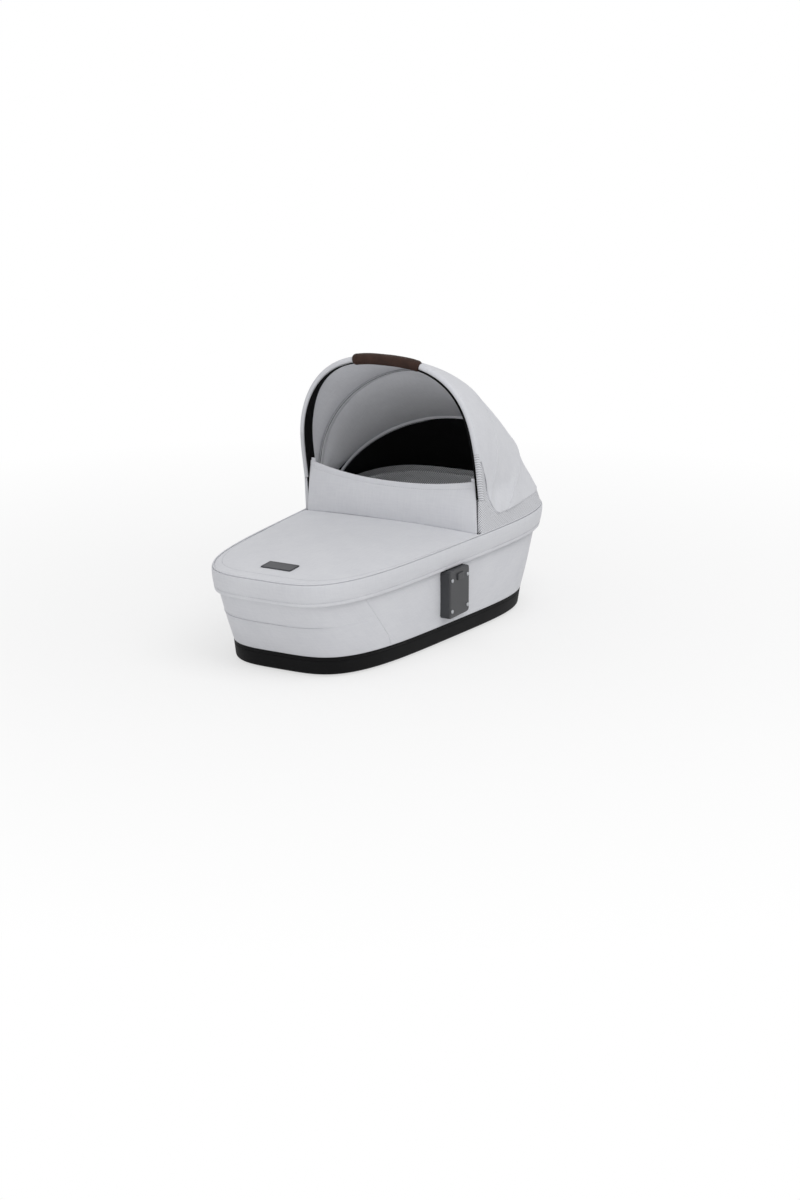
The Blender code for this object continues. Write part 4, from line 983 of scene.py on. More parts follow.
@dataclass(frozen=True)
class Tub:
    """Tray, fabric cover, padded rim band and padded lining.

    A profile is a table of heights, each with its inset from the outer face.
    """

    columns: int = 480
    tray_round: float = 0.005
    tray_profile: tuple[tuple[float, float], ...] = (
        (0.0180, 0.0), (0.0288, 0.0), (0.0292, 0.0006), (0.0300, 0.0006), (0.0304, 0.0),
        (0.0362, 0.0), (0.0368, 0.0002), (0.0370, 0.0007), (0.0370, 0.0018), (0.0367, 0.0025),
        (0.0090, 0.0025), (0.0070, 0.0030), (0.0058, 0.0042), (0.0055, 0.0060),
    )
    cover_thickness: float = 0.002
    cover_low: float = 0.0374
    cover_high: float = 0.1618
    cover_swell: float = 0.0007
    cover_ripple: float = 0.00025
    wall_piping: float = 0.0007
    foot_seam_z: float = 0.1005
    foot_seam_y: float = -0.222
    foot_seam_dip: float = 0.004
    foot_seam_rise: float = 0.010
    side_seam: tuple[tuple[float, float], ...] = (
        (0.040, -0.204), (0.058, -0.211), (0.089, -0.236), (0.150, -0.286),
    )
    side_seam_top: float = 0.1415
    band_profile: tuple[tuple[float, float], ...] = (
        (0.1826, 0.0030), (0.1822, 0.0020), (0.1823, 0.0011), (0.1830, 0.0005), (0.1828, -0.0001),
        (0.1810, -0.0004), (0.1780, -0.0006), (0.1740, -0.0006), (0.1690, -0.0003),
        (0.1630, 0.0004), (0.1575, 0.0012), (0.1530, 0.0021), (0.1508, 0.0028), (0.1498, 0.0032),
        (0.1488, 0.0031), (0.1462, 0.0031), (0.1438, 0.0036), (0.1425, 0.0042), (0.1420, 0.0050),
        (0.1425, 0.0058), (0.1450, 0.0060), (0.1500, 0.0062), (0.1530, 0.0070), (0.1540, 0.0104),
        (0.1612, 0.0106), (0.1618, 0.0024), (0.1700, 0.0024), (0.1800, 0.0024),
    )
    band_pull: float = 0.00035
    rim_piping: float = 0.0012
    lining_inset: float = 0.0058
    lining_thickness: float = 0.006
    lining_lean: float = 0.004
    lining_top: float = 0.1780
    lining_rise: float = 0.027
    lining_low: float = 0.0103
    lining_roll: float = 0.0033
    lining_belly: float = 0.0022

    def tray(self) -> None:
        """Moulded tray: rounded lower edge, a groove under its lip, an open top and a floor."""
        edge = np.radians(np.linspace(0.0, 90.0, 6))
        low = [SHAPE.floor + self.tray_round * (1.0 - np.cos(edge)), self.tray_round * (1.0 - np.sin(edge))]
        rows, insets = np.vstack([np.column_stack(low), self.tray_profile]).T[..., None]
        skin = Skin()
        ring = SHAPE.wall(rows).inset(insets).level(rows, SHAPE.turns(self.columns))
        skin.cap(skin.grid(ring, close_columns=True))
        settle(skin.make("tray", [BLACK_ABS], 50.0), "tub", "black_plastic", "base_tray")

    def cover(self) -> None:
        """Fabric over the board: a straight wall with a slight swell, drawn in at both ends.

        The swell is a half sine up the wall, and the tension ripple two slow waves round it.
        """
        turn = SHAPE.turns(self.columns)
        z = np.linspace(self.cover_low, self.cover_high, 26)[:, None]
        share = (z - self.cover_low) / (SHAPE.hem - self.cover_low)
        hump = np.sin(np.clip(share, 0.0, 1.0) * math.pi)
        ripple = self.cover_ripple * np.sin(9.0 * turn + 5.0 * share) * hump
        outer = SHAPE.wall(z).inset(-self.cover_swell * hump - ripple).level(z, turn)
        piece = cloth_sheet("cover", outer, self.cover_thickness, [SHELL_CLOTH], closed=True)
        settle(piece, "tub", FABRIC, "outer_cover")

    def wall_seams(self) -> None:
        """Raised seams on the wall: one round the foot end, and a slanted one on each side."""
        low = self.foot_seam_z
        ring = SHAPE.wall(low).inset(-0.0002).level(low, SHAPE.turns(4000))
        foot = ring[(ring[:, 1] < self.foot_seam_y)]
        path = evenly(foot[np.argsort(np.arctan2(foot[:, 0], -foot[:, 1]))], 240)
        bend = np.abs(np.linspace(-1.0, 1.0, len(path))) ** 3
        path[:, 2] += self.foot_seam_rise * bend - self.foot_seam_dip
        out = np.column_stack([path[:, 0] * 0.6, path[:, 1] + 0.16, np.zeros(len(path))])
        seams = [("seam_foot", path, unit(out))]
        heights, places = np.array(self.side_seam).T
        z = np.linspace(self.side_seam_top, heights[0], 60)
        y = np.interp(z, heights, places)
        for side in Side:
            x = side.value * (SHAPE.wall(z).half_width_at(y) + 0.0003)
            seams.append((f"seam_{side.label}", np.column_stack([x, y, z]), [side.value, 0.0, 0.0]))
        for name, line, up in seams:
            piece = piping(name, line, up, self.wall_piping, SHELL_CLOTH)
            settle(piece, "tub", FABRIC)

    def band(self) -> None:
        """Padded band round the rim: folded hem, stitched dip, soft belly and a seam on top."""
        rows, insets = np.array(self.band_profile).T[..., None]
        turn = SHAPE.turns(self.columns)
        pull = self.band_pull * np.sin(38.0 * turn) * np.sin(11.0 * turn + 1.0)
        outline = SHAPE.rim.inset(insets - pull * ridge(rows, 0.146, 0.006))
        skin = Skin()
        skin.grid(outline.level(rows, turn), close_rows=True, close_columns=True)
        piece = skin.make("rim_band_cloth", [SHELL_CLOTH], 70.0)
        settle(piece, "tub", FABRIC, "rim_band")
        around = float(run_length(SHAPE.rim.at(np.linspace(0.0, 2.0 * math.pi, 2000)))[-1])
        path = SHAPE.rim.inset(0.0020).level(0.1845, turn)
        piece = piping("rim_piping", path, UP, self.rim_piping, SHELL_CLOTH, True)
        settle(piece, "tub", FABRIC)
        path = SHAPE.rim.inset(0.0030).level(0.1496, turn)
        out = np.column_stack([path[:, 0] / SHAPE.rim.half_width**2, path[:, 1] / 0.16, 0.0 * turn])
        settle(stitch_row("rim_stitches", path, unit(out)), "tub", FABRIC)

    def lining(self) -> None:
        """Padded lining: up behind the board, over a rolled edge and down inside.

        The edge rises with a smooth step behind the hood's pivot, and the inner face swells by a
        half sine up the wall.
        """
        half, roll = self.lining_roll, np.radians(np.linspace(180.0, 0.0, 9))
        up = np.array([self.lining_low, SHAPE.tray_top, 0.09, SHAPE.hem, 0.165])
        down = np.linspace(0.170, self.lining_low, 22)
        base = np.concatenate([up, self.lining_top + half * np.sin(roll), down])
        belly = self.lining_belly * np.sin(np.clip((down - 0.05) / 0.12, 0.0, 1.0) * math.pi)
        over = self.lining_inset + self.lining_lean + half - half * np.cos(roll)
        inner = self.lining_inset + self.lining_thickness + belly
        inset = np.concatenate([np.full(5, self.lining_inset), over, inner])
        lift = [[0.0, 0.0, 0.0, 0.0, 0.35], np.ones(9), smooth(down, 0.125, 0.172) * 0.55]
        turn = SHAPE.turns(self.columns)
        outline = SHAPE.wall(np.minimum(base, 0.165)[:, None]).inset(inset[:, None])
        rise = smooth(outline.at(turn)[..., 1], 0.125, 0.165)
        z = base[:, None] + self.lining_rise * rise * np.concatenate(lift)[:, None]
        skin = Skin()
        skin.grid(outline.level(z, turn), close_rows=True, close_columns=True)
        piece = skin.make("lining", [LINING_KNIT_PAINTED_LIGHT], 70.0)
        settle(piece, "tub", "grey_lining", "inner_lining")

    def build(self) -> None:
        """Builds and dresses the tub."""
        for step in (self.tray, self.cover, self.wall_seams, self.band, self.lining):
            step()


@dataclass(frozen=True)
class Bedding:
    """Mattress: a closed cushion, swollen by a cloth simulation, with piped edges."""

    base: float = 0.0106
    top: float = 0.0436
    inset: float = 0.0185
    crown: float = 0.0055
    side_round: float = 0.006
    side_belly: float = 0.0015
    lowest: float = 0.0104
    voxel: float = 0.006
    pressure: float = 4.0
    frames: int = 20
    reach: float = 0.005
    piping_radius: float = 0.0018

    def blank(self) -> Piece:
        """Makes the slack cushion: rings from the middle below, round the side, to the top.

        The crown is 1 less the square of the share out from the middle. The side is a half circle
        less a belly by the cosine's fourth power.

        Returns:
            The cushion.
        """
        shares = np.linspace(0.02, 0.96, 14)
        side, turn = SHAPE.wall(0.02).inset(self.inset), SHAPE.turns(200)
        half = (self.top - self.base) / 2.0
        rings = [(share, 0.0, self.base) for share in shares]
        for bend in np.radians(np.linspace(-90.0, 90.0, 9)):
            by = self.side_round * (1.0 - math.cos(bend)) - self.side_belly * math.cos(bend) ** 4
            rings.append((1.0, by, self.base + half * (1 + math.sin(bend))))
        rings += [(s, 0.0, self.top + self.crown * (1.0 - s * s)) for s in shares[::-1]]
        levels = [side.inset(by).level(z, turn) * [share, share, 1.0] for share, by, z in rings]
        skin = Skin()
        skin.cap(skin.grid(np.stack(levels), close_columns=True))
        return skin.make("mattress_pad", [MATTRESS_TICKING], 80.0)

    def swell(self, pad: Piece) -> None:
        """Remeshes the pad, blows it up as cloth and keeps each point within reach.

        Args:
            pad: the slack cushion.
        """
        remesh = pad.modifiers.new("even", "REMESH")
        remesh.mode, remesh.voxel_size = "VOXEL", self.voxel
        self.apply(pad)
        before = np.empty(len(pad.data.vertices) * 3, np.float32)
        pad.data.vertices.foreach_get("co", before)
        cloth = pad.modifiers.new("cloth", "CLOTH")
        cloth.settings.use_pressure = True
        cloth.settings.uniform_pressure_force = self.pressure
        cloth.settings.effector_weights.gravity = 0.0
        cloth.settings.quality = 4
        cloth.collision_settings.use_collision = False
        cloth.point_cache.frame_start, cloth.point_cache.frame_end = 1, self.frames
        scene = bpy.context.scene
        for step in range(1, self.frames + 1):
            scene.frame_set(step)
        self.apply(pad)
        scene.frame_set(1)
        after = np.empty_like(before)
        pad.data.vertices.foreach_get("co", after)
        move = (after - before).reshape(-1, 3)
        length = np.linalg.norm(move, axis=1, keepdims=True)
        move *= np.minimum(1.0, self.reach / np.maximum(length, 1e-9))
        kept = before.reshape(-1, 3) + move
        kept[:, 2] = np.maximum(kept[:, 2], self.lowest)
        pad.data.vertices.foreach_set("co", kept.astype(np.float32).ravel())

    def apply(self, pad: Piece) -> None:
        """Bakes the pad's modifiers into its mesh.

        Args:
            pad: the cushion.
        """
        graph = bpy.context.evaluated_depsgraph_get()
        made = bpy.data.meshes.new_from_object(pad.evaluated_get(graph), depsgraph=graph)
        pad.modifiers.clear()
        pad.data = made

    def edge_piping(self, pad: Piece) -> None:
        """Lays piping on the pad's upper and lower edges, on its swollen surface.

        Args:
            pad: the cushion.
        """
        corners = [vertex.co for vertex in pad.data.vertices]
        tree = BVHTree.FromPolygons(corners, [face.vertices for face in pad.data.polygons])
        edge, turn = SHAPE.wall(0.02).inset(self.inset - 0.001), SHAPE.turns(360)
        for name, z in (("upper", self.top - 0.002), ("lower", self.base + 0.003)):
            hits = [tree.find_nearest(Vector(point)) for point in edge.level(z, turn)]
            path = np.array([hit[0] + hit[1] * (self.piping_radius / 3.0) for hit in hits])
            path = sum(np.roll(path, s, axis=0) for s in range(-4, 5)) / 9.0
            name = f"mattress_piping_{name}"
            piece = piping(name, path, UP, self.piping_radius, MATTRESS_TICKING, True)
            settle(piece, "tub", "white_ticking")

    def build(self) -> None:
        """Builds and dresses the mattress."""
        pad = self.blank()
        self.swell(pad)
        pad.data.materials.clear()
        pad.data.materials.append(MATTRESS_TICKING.material())
        pad.data.shade_smooth()
        finer = pad.modifiers.new("finer", "SUBSURF")
        finer.levels = finer.render_levels = 1
        settle(pad, "tub", "white_ticking", "mattress")
        self.edge_piping(pad)


@dataclass(frozen=True)
class Apron:
    """Sheet over the foot half, with a bare badge plate at the foot end.

    The badge's profile is a table of insets from its outline, each with its height.
    """

    columns: int = 401
    thickness: float = 0.0022
    base_y: float = 0.046
    base_sweep: float = 0.018
    base_lap: float = 0.003
    edge_dip: float = 0.0018
    edge_width: float = 0.0030
    pulls: float = 0.00035
    waves: float = 0.0005
    badge_width: float = 0.061
    badge_length: float = 0.033
    badge_y: float = -0.328
    badge_corner: float = 0.0018
    badge_profile: tuple[tuple[float, float], ...] = (
        (0.0, -0.0006), (0.0, 0.0011), (0.0002, 0.0014), (0.0005, 0.0015), (0.0017, 0.0015),
        (0.0020, 0.0012), (0.0026, 0.0011), (0.0034, 0.0011), (0.0050, 0.0011),
    )

    def relief(self, flat: Array, away: Array, along: Array) -> Array:
        """Works out how the cloth lies off its crown.

        It rolls in and crowds up at the seam, is pulled by its stitches in two crossed waves that
        fade away from the seam, and lies in slow waves that calm down round the badge.

        Args:
            flat: the sheet's x and y, rows by columns by 2.
            away: the distance from the rim, rows by columns.
            along: the distance along the rim, by columns.

        Returns:
            The height to add, rows by columns.
        """
        x, y = flat[..., 0], flat[..., 1]
        roll = self.edge_dip * np.exp(-away / self.edge_width) - 0.0006 * ridge(away, 0.008, 0.005)
        pulls = self.pulls * np.sin(along * 260.0) * np.sin(along * 61.0 + 0.7)
        pulls = pulls * np.exp(-away / 0.018) * (1.0 - np.exp(-away / 0.004))
        calm = smooth(np.hypot(x, y - self.badge_y), 0.045, 0.12)
        return pulls - roll + self.waves * np.sin(x * 21.0 + y * 9.0) * np.sin(y * 17.0 + 0.6) * calm

    def sheet(self) -> None:
        """Crowned sheet between the rim's foot half and its open rear edge.

        Each row is a straight share of the way from the rim to the rear edge.
        """
        outline = SHAPE.rim.inset(SHAPE.frame_inset)
        dense = outline.at(np.linspace(-math.pi * 1.2, math.pi * 0.2, 12000))
        dense = dense[dense[:, 1] <= self.base_y + self.base_sweep + self.base_lap]
        rim = evenly(dense, self.columns)
        along = np.linspace(0.0, run_length(dense)[-1], self.columns)[None]
        across = np.linspace(-1.0, 1.0, self.columns)
        y = self.base_y + self.base_sweep * np.abs(across) ** 2.5 + self.base_lap
        rear = np.column_stack([across * outline.half_width_at(y), y])
        share = np.concatenate([[0.0, 0.004, 0.01, 0.02, 0.035], np.linspace(0.055, 1.0, 42)])
        flat = straight(rim, rear, share)
        half = np.maximum(outline.half_width_at(flat[..., 1]), 1e-4)
        z = SHAPE.apron_height(np.clip(flat[..., 0] / half, -1.0, 1.0), flat[..., 1])
        z = z + self.relief(flat, np.linalg.norm(flat - rim[None], axis=2), along)
        z[-1] -= 0.0004
        outer = np.concatenate([flat, z[..., None]], axis=-1)
        piece = cloth_sheet("apron", outer, self.thickness, [SHELL_CLOTH], uv=flat)
        settle(piece, "tub", FABRIC, "apron_top")
        stitches = stitch_row("apron_stitches", outer[5, 6:395], UP)
        settle(stitches, "tub", FABRIC)

    def badge(self) -> None:
        """Plate with rounded corners, a bevelled rim and a shallow bare field.

        Its rings are drawn in by the profile's insets, and it leans as the apron does there.
        """
        corner, least = self.badge_corner, 0.0002
        turn = np.radians(np.arange(4)[:, None] * 90.0 + np.linspace(0.0, 90.0, 9)[None])
        sign = np.array([[1, 1], [-1, 1], [-1, -1], [1, -1]], float)[:, None]
        half = np.array([self.badge_width, self.badge_length]) / 2.0
        out = np.stack([np.cos(turn), np.sin(turn)], axis=-1)
        rings = []
        for inset, z in self.badge_profile:
            flat = sign * (half - corner) + out * max(corner - inset, least)
            flat = (flat - sign * max(inset - corner + least, 0.0)).reshape(-1, 2)
            rings.append(np.column_stack([flat, np.full(len(flat), z)]))
        x, along, up = np.stack(rings).transpose(2, 0, 1)
        y = self.badge_y + np.array([-0.5, 0.5]) * self.badge_length
        z = SHAPE.apron_height(0.0, y) + 0.0008
        lean = math.atan2(z[1] - z[0], y[1] - y[0])
        y = self.badge_y + along * math.cos(lean) - up * math.sin(lean)
        z = z.mean() + along * math.sin(lean) + up * math.cos(lean)
        skin = Skin()
        skin.cap(skin.grid(np.stack([x, y, z], axis=-1), close_columns=True))
        settle(skin.make("badge_plate", [BADGE_PLATE], 25.0), "tub", "badge_metal", "badge")

    def build(self) -> None:
        """Builds and dresses the apron."""
        self.sheet()
        self.badge()


@dataclass(frozen=True)
class WindFlap:
    """Padded flap that stands behind the apron, with a tab at each upper corner."""

    base_y: float = 0.046
    base_sweep: float = 0.018
    base_half: float = 0.181
    top_y: float = 0.054
    top_sweep: float = 0.014
    top_half: float = 0.176
    height: float = 0.071
    corner_rise: float = 0.016
    thickness: float = 0.003
    bulge: float = 0.0055
    hem: float = 0.009
    hem_width: float = 0.0016
    hem_dip: float = 0.0009
    pulls: float = 0.0005
    sag: float = 0.0008
    tab_half: float = 0.0038
    tab_inset: float = 0.0050
    tab_stand: float = 0.0060
    tab_reach: float = 0.008
    tab_fold: float = 0.0008
    tab_thickness: float = 0.0006

    def front(self) -> Array:
        """Works out the front face: a straight lean from foot to top, less a half-sine belly.

        The foot and the top edge sweep back towards the sides, and the top rises at its corners.

        Returns:
            The face, rows by columns by 3.
        """
        across = np.linspace(-1.0, 1.0, 181)[None, :]
        up = np.linspace(0.0, 1.0, 61)[:, None]
        base_half = SHAPE.rim.inset(SHAPE.frame_inset).half_width_at(self.base_y)
        low = SHAPE.apron_height(across * self.base_half / base_half, self.base_y) + 0.0006
        top = SHAPE.seam + SHAPE.apron_crown + self.height
        top = top + self.corner_rise * np.abs(across) ** 2.2
        half = self.base_half + (self.top_half - self.base_half) * up
        foot = self.base_y + self.base_sweep * np.abs(across) ** 2.5
        head = self.top_y + self.top_sweep * across**2
        belly = self.bulge * np.sin(up**0.9 * math.pi) * (1.0 - 0.8 * across**8)
        pulls = self.pulls * np.sin(across * 34.0) * np.sin(across * 9.0 + 1.0) * np.exp(-up / 0.10)
        sag = self.sag * np.sin(across * 7.0 + 0.6) * np.sin(up * math.pi)
        y = foot + (head - foot) * up - belly + pulls + sag
        return np.stack([across * half, y, low + (top - low) * up], axis=-1)

    def tab(self, side: Side, corner: Array) -> None:
        """Makes a folded tab: a flat strip that goes up, turns over and comes down again.

        Args:
            side: the side that it is on.
            corner: the flap's upper corner there.
        """
        x, y0, low = corner - [side.value * self.tab_inset, -0.0015, self.tab_reach]
        top, fold = corner[2] + self.tab_stand, self.tab_fold
        turn = np.linspace(math.pi, 0.0, 7)
        up = np.column_stack([np.full(6, y0 - fold), np.linspace(low, top - 0.001, 6)])
        over = np.column_stack([y0 + fold * np.cos(turn), top - fold + fold * np.sin(turn)])
        down = np.column_stack([np.full(6, y0 + fold), np.linspace(top - 0.002, low, 6)])
        line = np.vstack([up, over, down])[:, None]
        across = x + np.linspace(-self.tab_half, self.tab_half, 7)[None]
        grid = np.stack(np.broadcast_arrays(across, line[..., 0], line[..., 1]), axis=-1)
        piece = cloth_sheet(f"tab_{side.label}", grid, self.tab_thickness, [SHELL_CLOTH])
        settle(piece, "flap", FABRIC, f"flap_tab_{side.label}")

    def build(self) -> None:
        """Builds and dresses the flap, its hem's stitches and its tabs."""
        front = self.front()
        drop = np.linalg.norm(front[-1:] - front, axis=2)
        thick = self.thickness - self.hem_dip * ridge(drop, self.hem, self.hem_width)
        front[..., 1] += (self.thickness - thick) * 0.6
        piece = cloth_sheet("flap_cloth", front, thick, [SHELL_CLOTH])
        settle(piece, "flap", FABRIC, "wind_flap")
        row = int(np.argmin(np.abs(drop[:, 90] - self.hem)))
        stitches = stitch_row("flap_stitches", front[row, 4:-4], [0.0, -1.0, 0.0])
        settle(stitches, "flap", FABRIC)
        for side in Side:
            self.tab(side, front[-1, 0 if side is Side.LEFT else -1])


# Hood


# The middle of the line through the hood's pins.
PIVOT = np.array([0.0, 0.085, 0.176])
# A line's points, and a direction at each.
Edge = tuple[Array, Array]


@dataclass(frozen=True)
class Hoop:
    """A flat strip from pin to pin, straight and then arched, in one leaning plane."""

    angle: float
    half_span: float
    reach: float
    power: float
    leg: float = 0.12

    def edge(self, lift: Any, side: float, start_z: float, count: int) -> Edge:
        """Works out a line along the strip: straight legs with a superellipse on top.

        Args:
            lift: how far the line, or each of its points, stands off the strip's middle, outwards.
            side: its offset square to the plane, towards the front.
            start_z: the height at which it starts and ends.
            count: the number of points.

        Returns:
            The points, and the step inwards at each.
        """
        lean = math.radians(self.angle)
        cosine, sine = math.cos(lean), math.sin(lean)
        start = (start_z - PIVOT[2]) / sine
        feet = np.array([[-self.half_span, start], [self.half_span, start]])
        top = arch(self.half_span, self.leg, self.reach, self.power, 1200)
        at = evenly(np.vstack([feet[:1], top, feet[1:]]), count)
        step = unit(np.gradient(at, axis=0))
        out = np.stack([-step[:, 1], step[:, 0]], axis=-1)
        x, along = (at + np.reshape(lift, (-1, 1)) * out).T
        y = PIVOT[1] + along * cosine - side * sine
        z = PIVOT[2] + along * sine + side * cosine
        inward = -np.column_stack([out[:, 0], out[:, 1] * cosine, out[:, 1] * sine])
        return np.column_stack([x, y, z]), inward


@dataclass(frozen=True)
class BowShape:
    """The front bow's centre line: a superellipse arch on short legs that sweep back."""

    half_span: float = 0.1865
    top_z: float = 0.4944
    top_y: float = 0.0495
    foot_z: float = 0.2488
    shoulder_z: float = 0.286
    knee_z: float = 0.358
    knee_bend: float = 0.03
    lean: float = 0.204
    power: float = 2.65
    sleeve: float = 0.0055
    grip_length: float = 0.140
    grip_radius: float = 0.0105

    def line(self, count: int) -> Edge:
        """Works out the line. Below the knee it leans back by a hyperbola that joins the top.

        Args:
            count: the number of points.

        Returns:
            The evenly spaced points from -X to +X, and the outward direction at each.
        """
        feet = np.array([[-self.half_span, self.foot_z], [self.half_span, self.foot_z]])
        top = arch(self.half_span, self.shoulder_z, self.top_z, self.power, 1600)
        x, z = np.vstack([feet[:1], top, feet[1:]]).T
        drop = self.knee_z - z
        y = self.top_y + self.lean * (np.sqrt(drop**2 + self.knee_bend**2) + drop) / 2.0
        points = evenly(np.column_stack([x, y, z]), count)
        return points, unit(np.cross(np.array([0.0, -1.0, 0.0]), tangents(points, False)))

    def stretch(self, start: float, end: float, count: int) -> Edge:
        """Cuts a stretch out of the line.

        Args:
            start: the distance along the line at which it starts.
            end: the distance at which it ends.
            count: the number of points.

        Returns:
            The points, and the outward direction at each.
        """
        points, out = self.line(1201)
        run, wanted = run_length(points), np.linspace(start, end, count)
        rows = [np.interp(wanted, run, column) for column in np.hstack([points, out]).T]
        both = np.stack(rows, axis=-1)
        return both[:, :3], unit(both[:, 3:])

    def grip_ends(self) -> tuple[float, float, float]:
        """Returns where the grip starts and ends along the line, and the line's length."""
        total = float(run_length(self.line(1201)[0])[-1])
        return (total - self.grip_length) / 2.0, (total + self.grip_length) / 2.0, total


BOW = BowShape()
MID = Hoop(72.0, 0.18285, 0.291, 1.95)
REAR = Hoop(30.0, 0.18085, 0.305, 2.1)


@dataclass(frozen=True)
class FrontBow:
    """The bow's fabric sleeves, black facings and leatherette carry grip."""

    bore: float = 0.0045
    gathers: float = 0.012
    knit_top: float = 0.338
    facing_full: float = 0.027
    facing_foot: float = 0.014
    facing_top: float = 0.012
    facing_thickness: float = 0.0016
    widen_to: float = 0.285
    rounding: float = 0.006
    seam_dent: float = 0.0007
    seam_turn: float = 205.0
    band_dent: float = 0.00035
    band_inset: float = 0.011
    unevenness: float = 0.00012
    stitch_turns: tuple[tuple[str, float], ...] = (("upper", 196.0), ("lower", 214.0))

    def stretches(self) -> list[tuple[Side, Array, Array]]:
        """Cuts the bow's line on either side of the grip.

        Returns:
            Each side with its stretch.
        """
        start, end, total = BOW.grip_ends()
        left = BOW.stretch(0.0, start - SEAM_GAP, 150)
        right = BOW.stretch(end + SEAM_GAP, total, 150)
        return [(Side.LEFT, *left), (Side.RIGHT, *right)]

    def sleeves(self) -> None:
        """The hem round the tube: a round profile with a slight ridge of gathers along it."""
        sides = 20
        for side, path, out in self.stretches():
            ring, middle = round_rings(path, out, sides), path[:, None]
            swell = 1.0 + self.gathers * np.sin(np.arange(len(path)) * 1.9)[:, None, None]
            skin = tube(middle + BOW.sleeve * swell * ring, middle + self.bore * ring)
            knit = (path[:-1, 2] + path[1:, 2]) / 2.0 < self.knit_top
            skin.slots[0] = np.repeat(knit.astype(int), sides)
            piece = skin.make(f"sleeve_{side.label}", [SHELL_CLOTH, SKIRT_KNIT], 60.0)
            settle(piece, "front_hoop", FABRIC, f"bow_sleeve_{side.label}")

    def facings(self) -> None:
        """Black strips inside the bow, flat: slim at the arms, full on the legs, slim at the grip."""
        share = np.concatenate([[0.0], np.linspace(0.03, 0.97, 12), [1.0]])[None]
        for side, path, out in self.stretches():
            widen = smooth(path[:, 2], BOW.foot_z, self.widen_to)
            narrow = smooth(path[:, 2], BOW.knee_z, BOW.top_z)
            depth = self.facing_foot + (self.facing_full - self.facing_foot) * widen
            depth = depth + (self.facing_top - self.facing_full) * narrow
            y = depth[:, None] * share - BOW.sleeve
            near = path - (BOW.sleeve + SEAM_GAP) * out
            grid = near[:, None] + y[..., None] * np.array([0.0, 1.0, 0.0])
            turn = math.copysign(1.0, float((grid_normals(grid) * out[:, None]).sum()))
            name = f"facing_{side.label}"
            piece = cloth_sheet(name, grid, self.facing_thickness, [BLACK_NET], turn)
            settle(piece, "front_hoop", "black_mesh", f"bow_facing_{side.label}")

    def grip(self) -> None:
        """Leatherette grip: a round profile whose ends fall off as part of a circle.

        A seam runs along its rear underside, with a row of stitches on both sides.
        """
        start, end, _ = BOW.grip_ends()
        path, out = BOW.stretch(start, end, 181)
        along = np.linspace(0.0, BOW.grip_length, len(path))
        from_end = np.minimum(along, BOW.grip_length - along)
        depth = np.clip(1.0 - from_end / self.rounding, 0.0, 1.0)
        fall = self.rounding * (1.0 - np.sqrt(1.0 - (0.85 * depth) ** 2))
        turn = np.arange(48) * 2.0 * math.pi / 48
        from_seam = np.angle(np.exp(1j * (turn - math.radians(self.seam_turn))))
        dent = self.seam_dent * ridge(from_seam, 0.0, 0.07)[None]
        dent = dent + self.band_dent * ridge(from_end, self.band_inset, 0.0009)[:, None]
        uneven = self.unevenness * np.sin(along * 140.0)[:, None] * np.sin(3.0 * turn)[None]
        radius = (BOW.grip_radius - fall)[:, None] - dent + uneven
        ring, middle = round_rings(path, out, len(turn)), path[:, None]
        skin = tube(middle + radius[..., None] * ring, middle + self.bore * ring)
        piece = skin.make("grip_cover", [GRIP_LEATHERETTE], 50.0)
        settle(piece, "front_hoop", "brown_leatherette", "handle_grip")
        across = np.cross(tangents(path, False), out)
        for name, degrees in self.stitch_turns:
            angle = math.radians(degrees)
            up = (math.cos(angle) * out + math.sin(angle) * across)[10:-10]
            seam = path[10:-10] + (BOW.grip_radius - 0.0001) * up
            stitches = stitch_row(f"grip_stitches_{name}", seam, up, 0.005)
            stitches.data.materials[0] = GRIP_LEATHERETTE.material()
            settle(stitches, "front_hoop", "brown_leatherette")

    def build(self) -> None:
        """Builds and dresses the bow."""
        self.sleeves()
        self.facings()
        self.grip()


class Fold(NamedTuple):
    """The two bodies that a panel lies between, and their angles about the hood's pins."""

    bodies: tuple[str, str]
    degrees: tuple[float, float]


FRONT_FOLD = Fold(("mid_hoop", "front_hoop"), (72.0, 95.0))
REAR_FOLD = Fold(("rear_hoop", "mid_hoop"), (30.0, 72.0))
BACK_FOLD = Fold(("tub", "rear_hoop"), (8.0, 30.0))


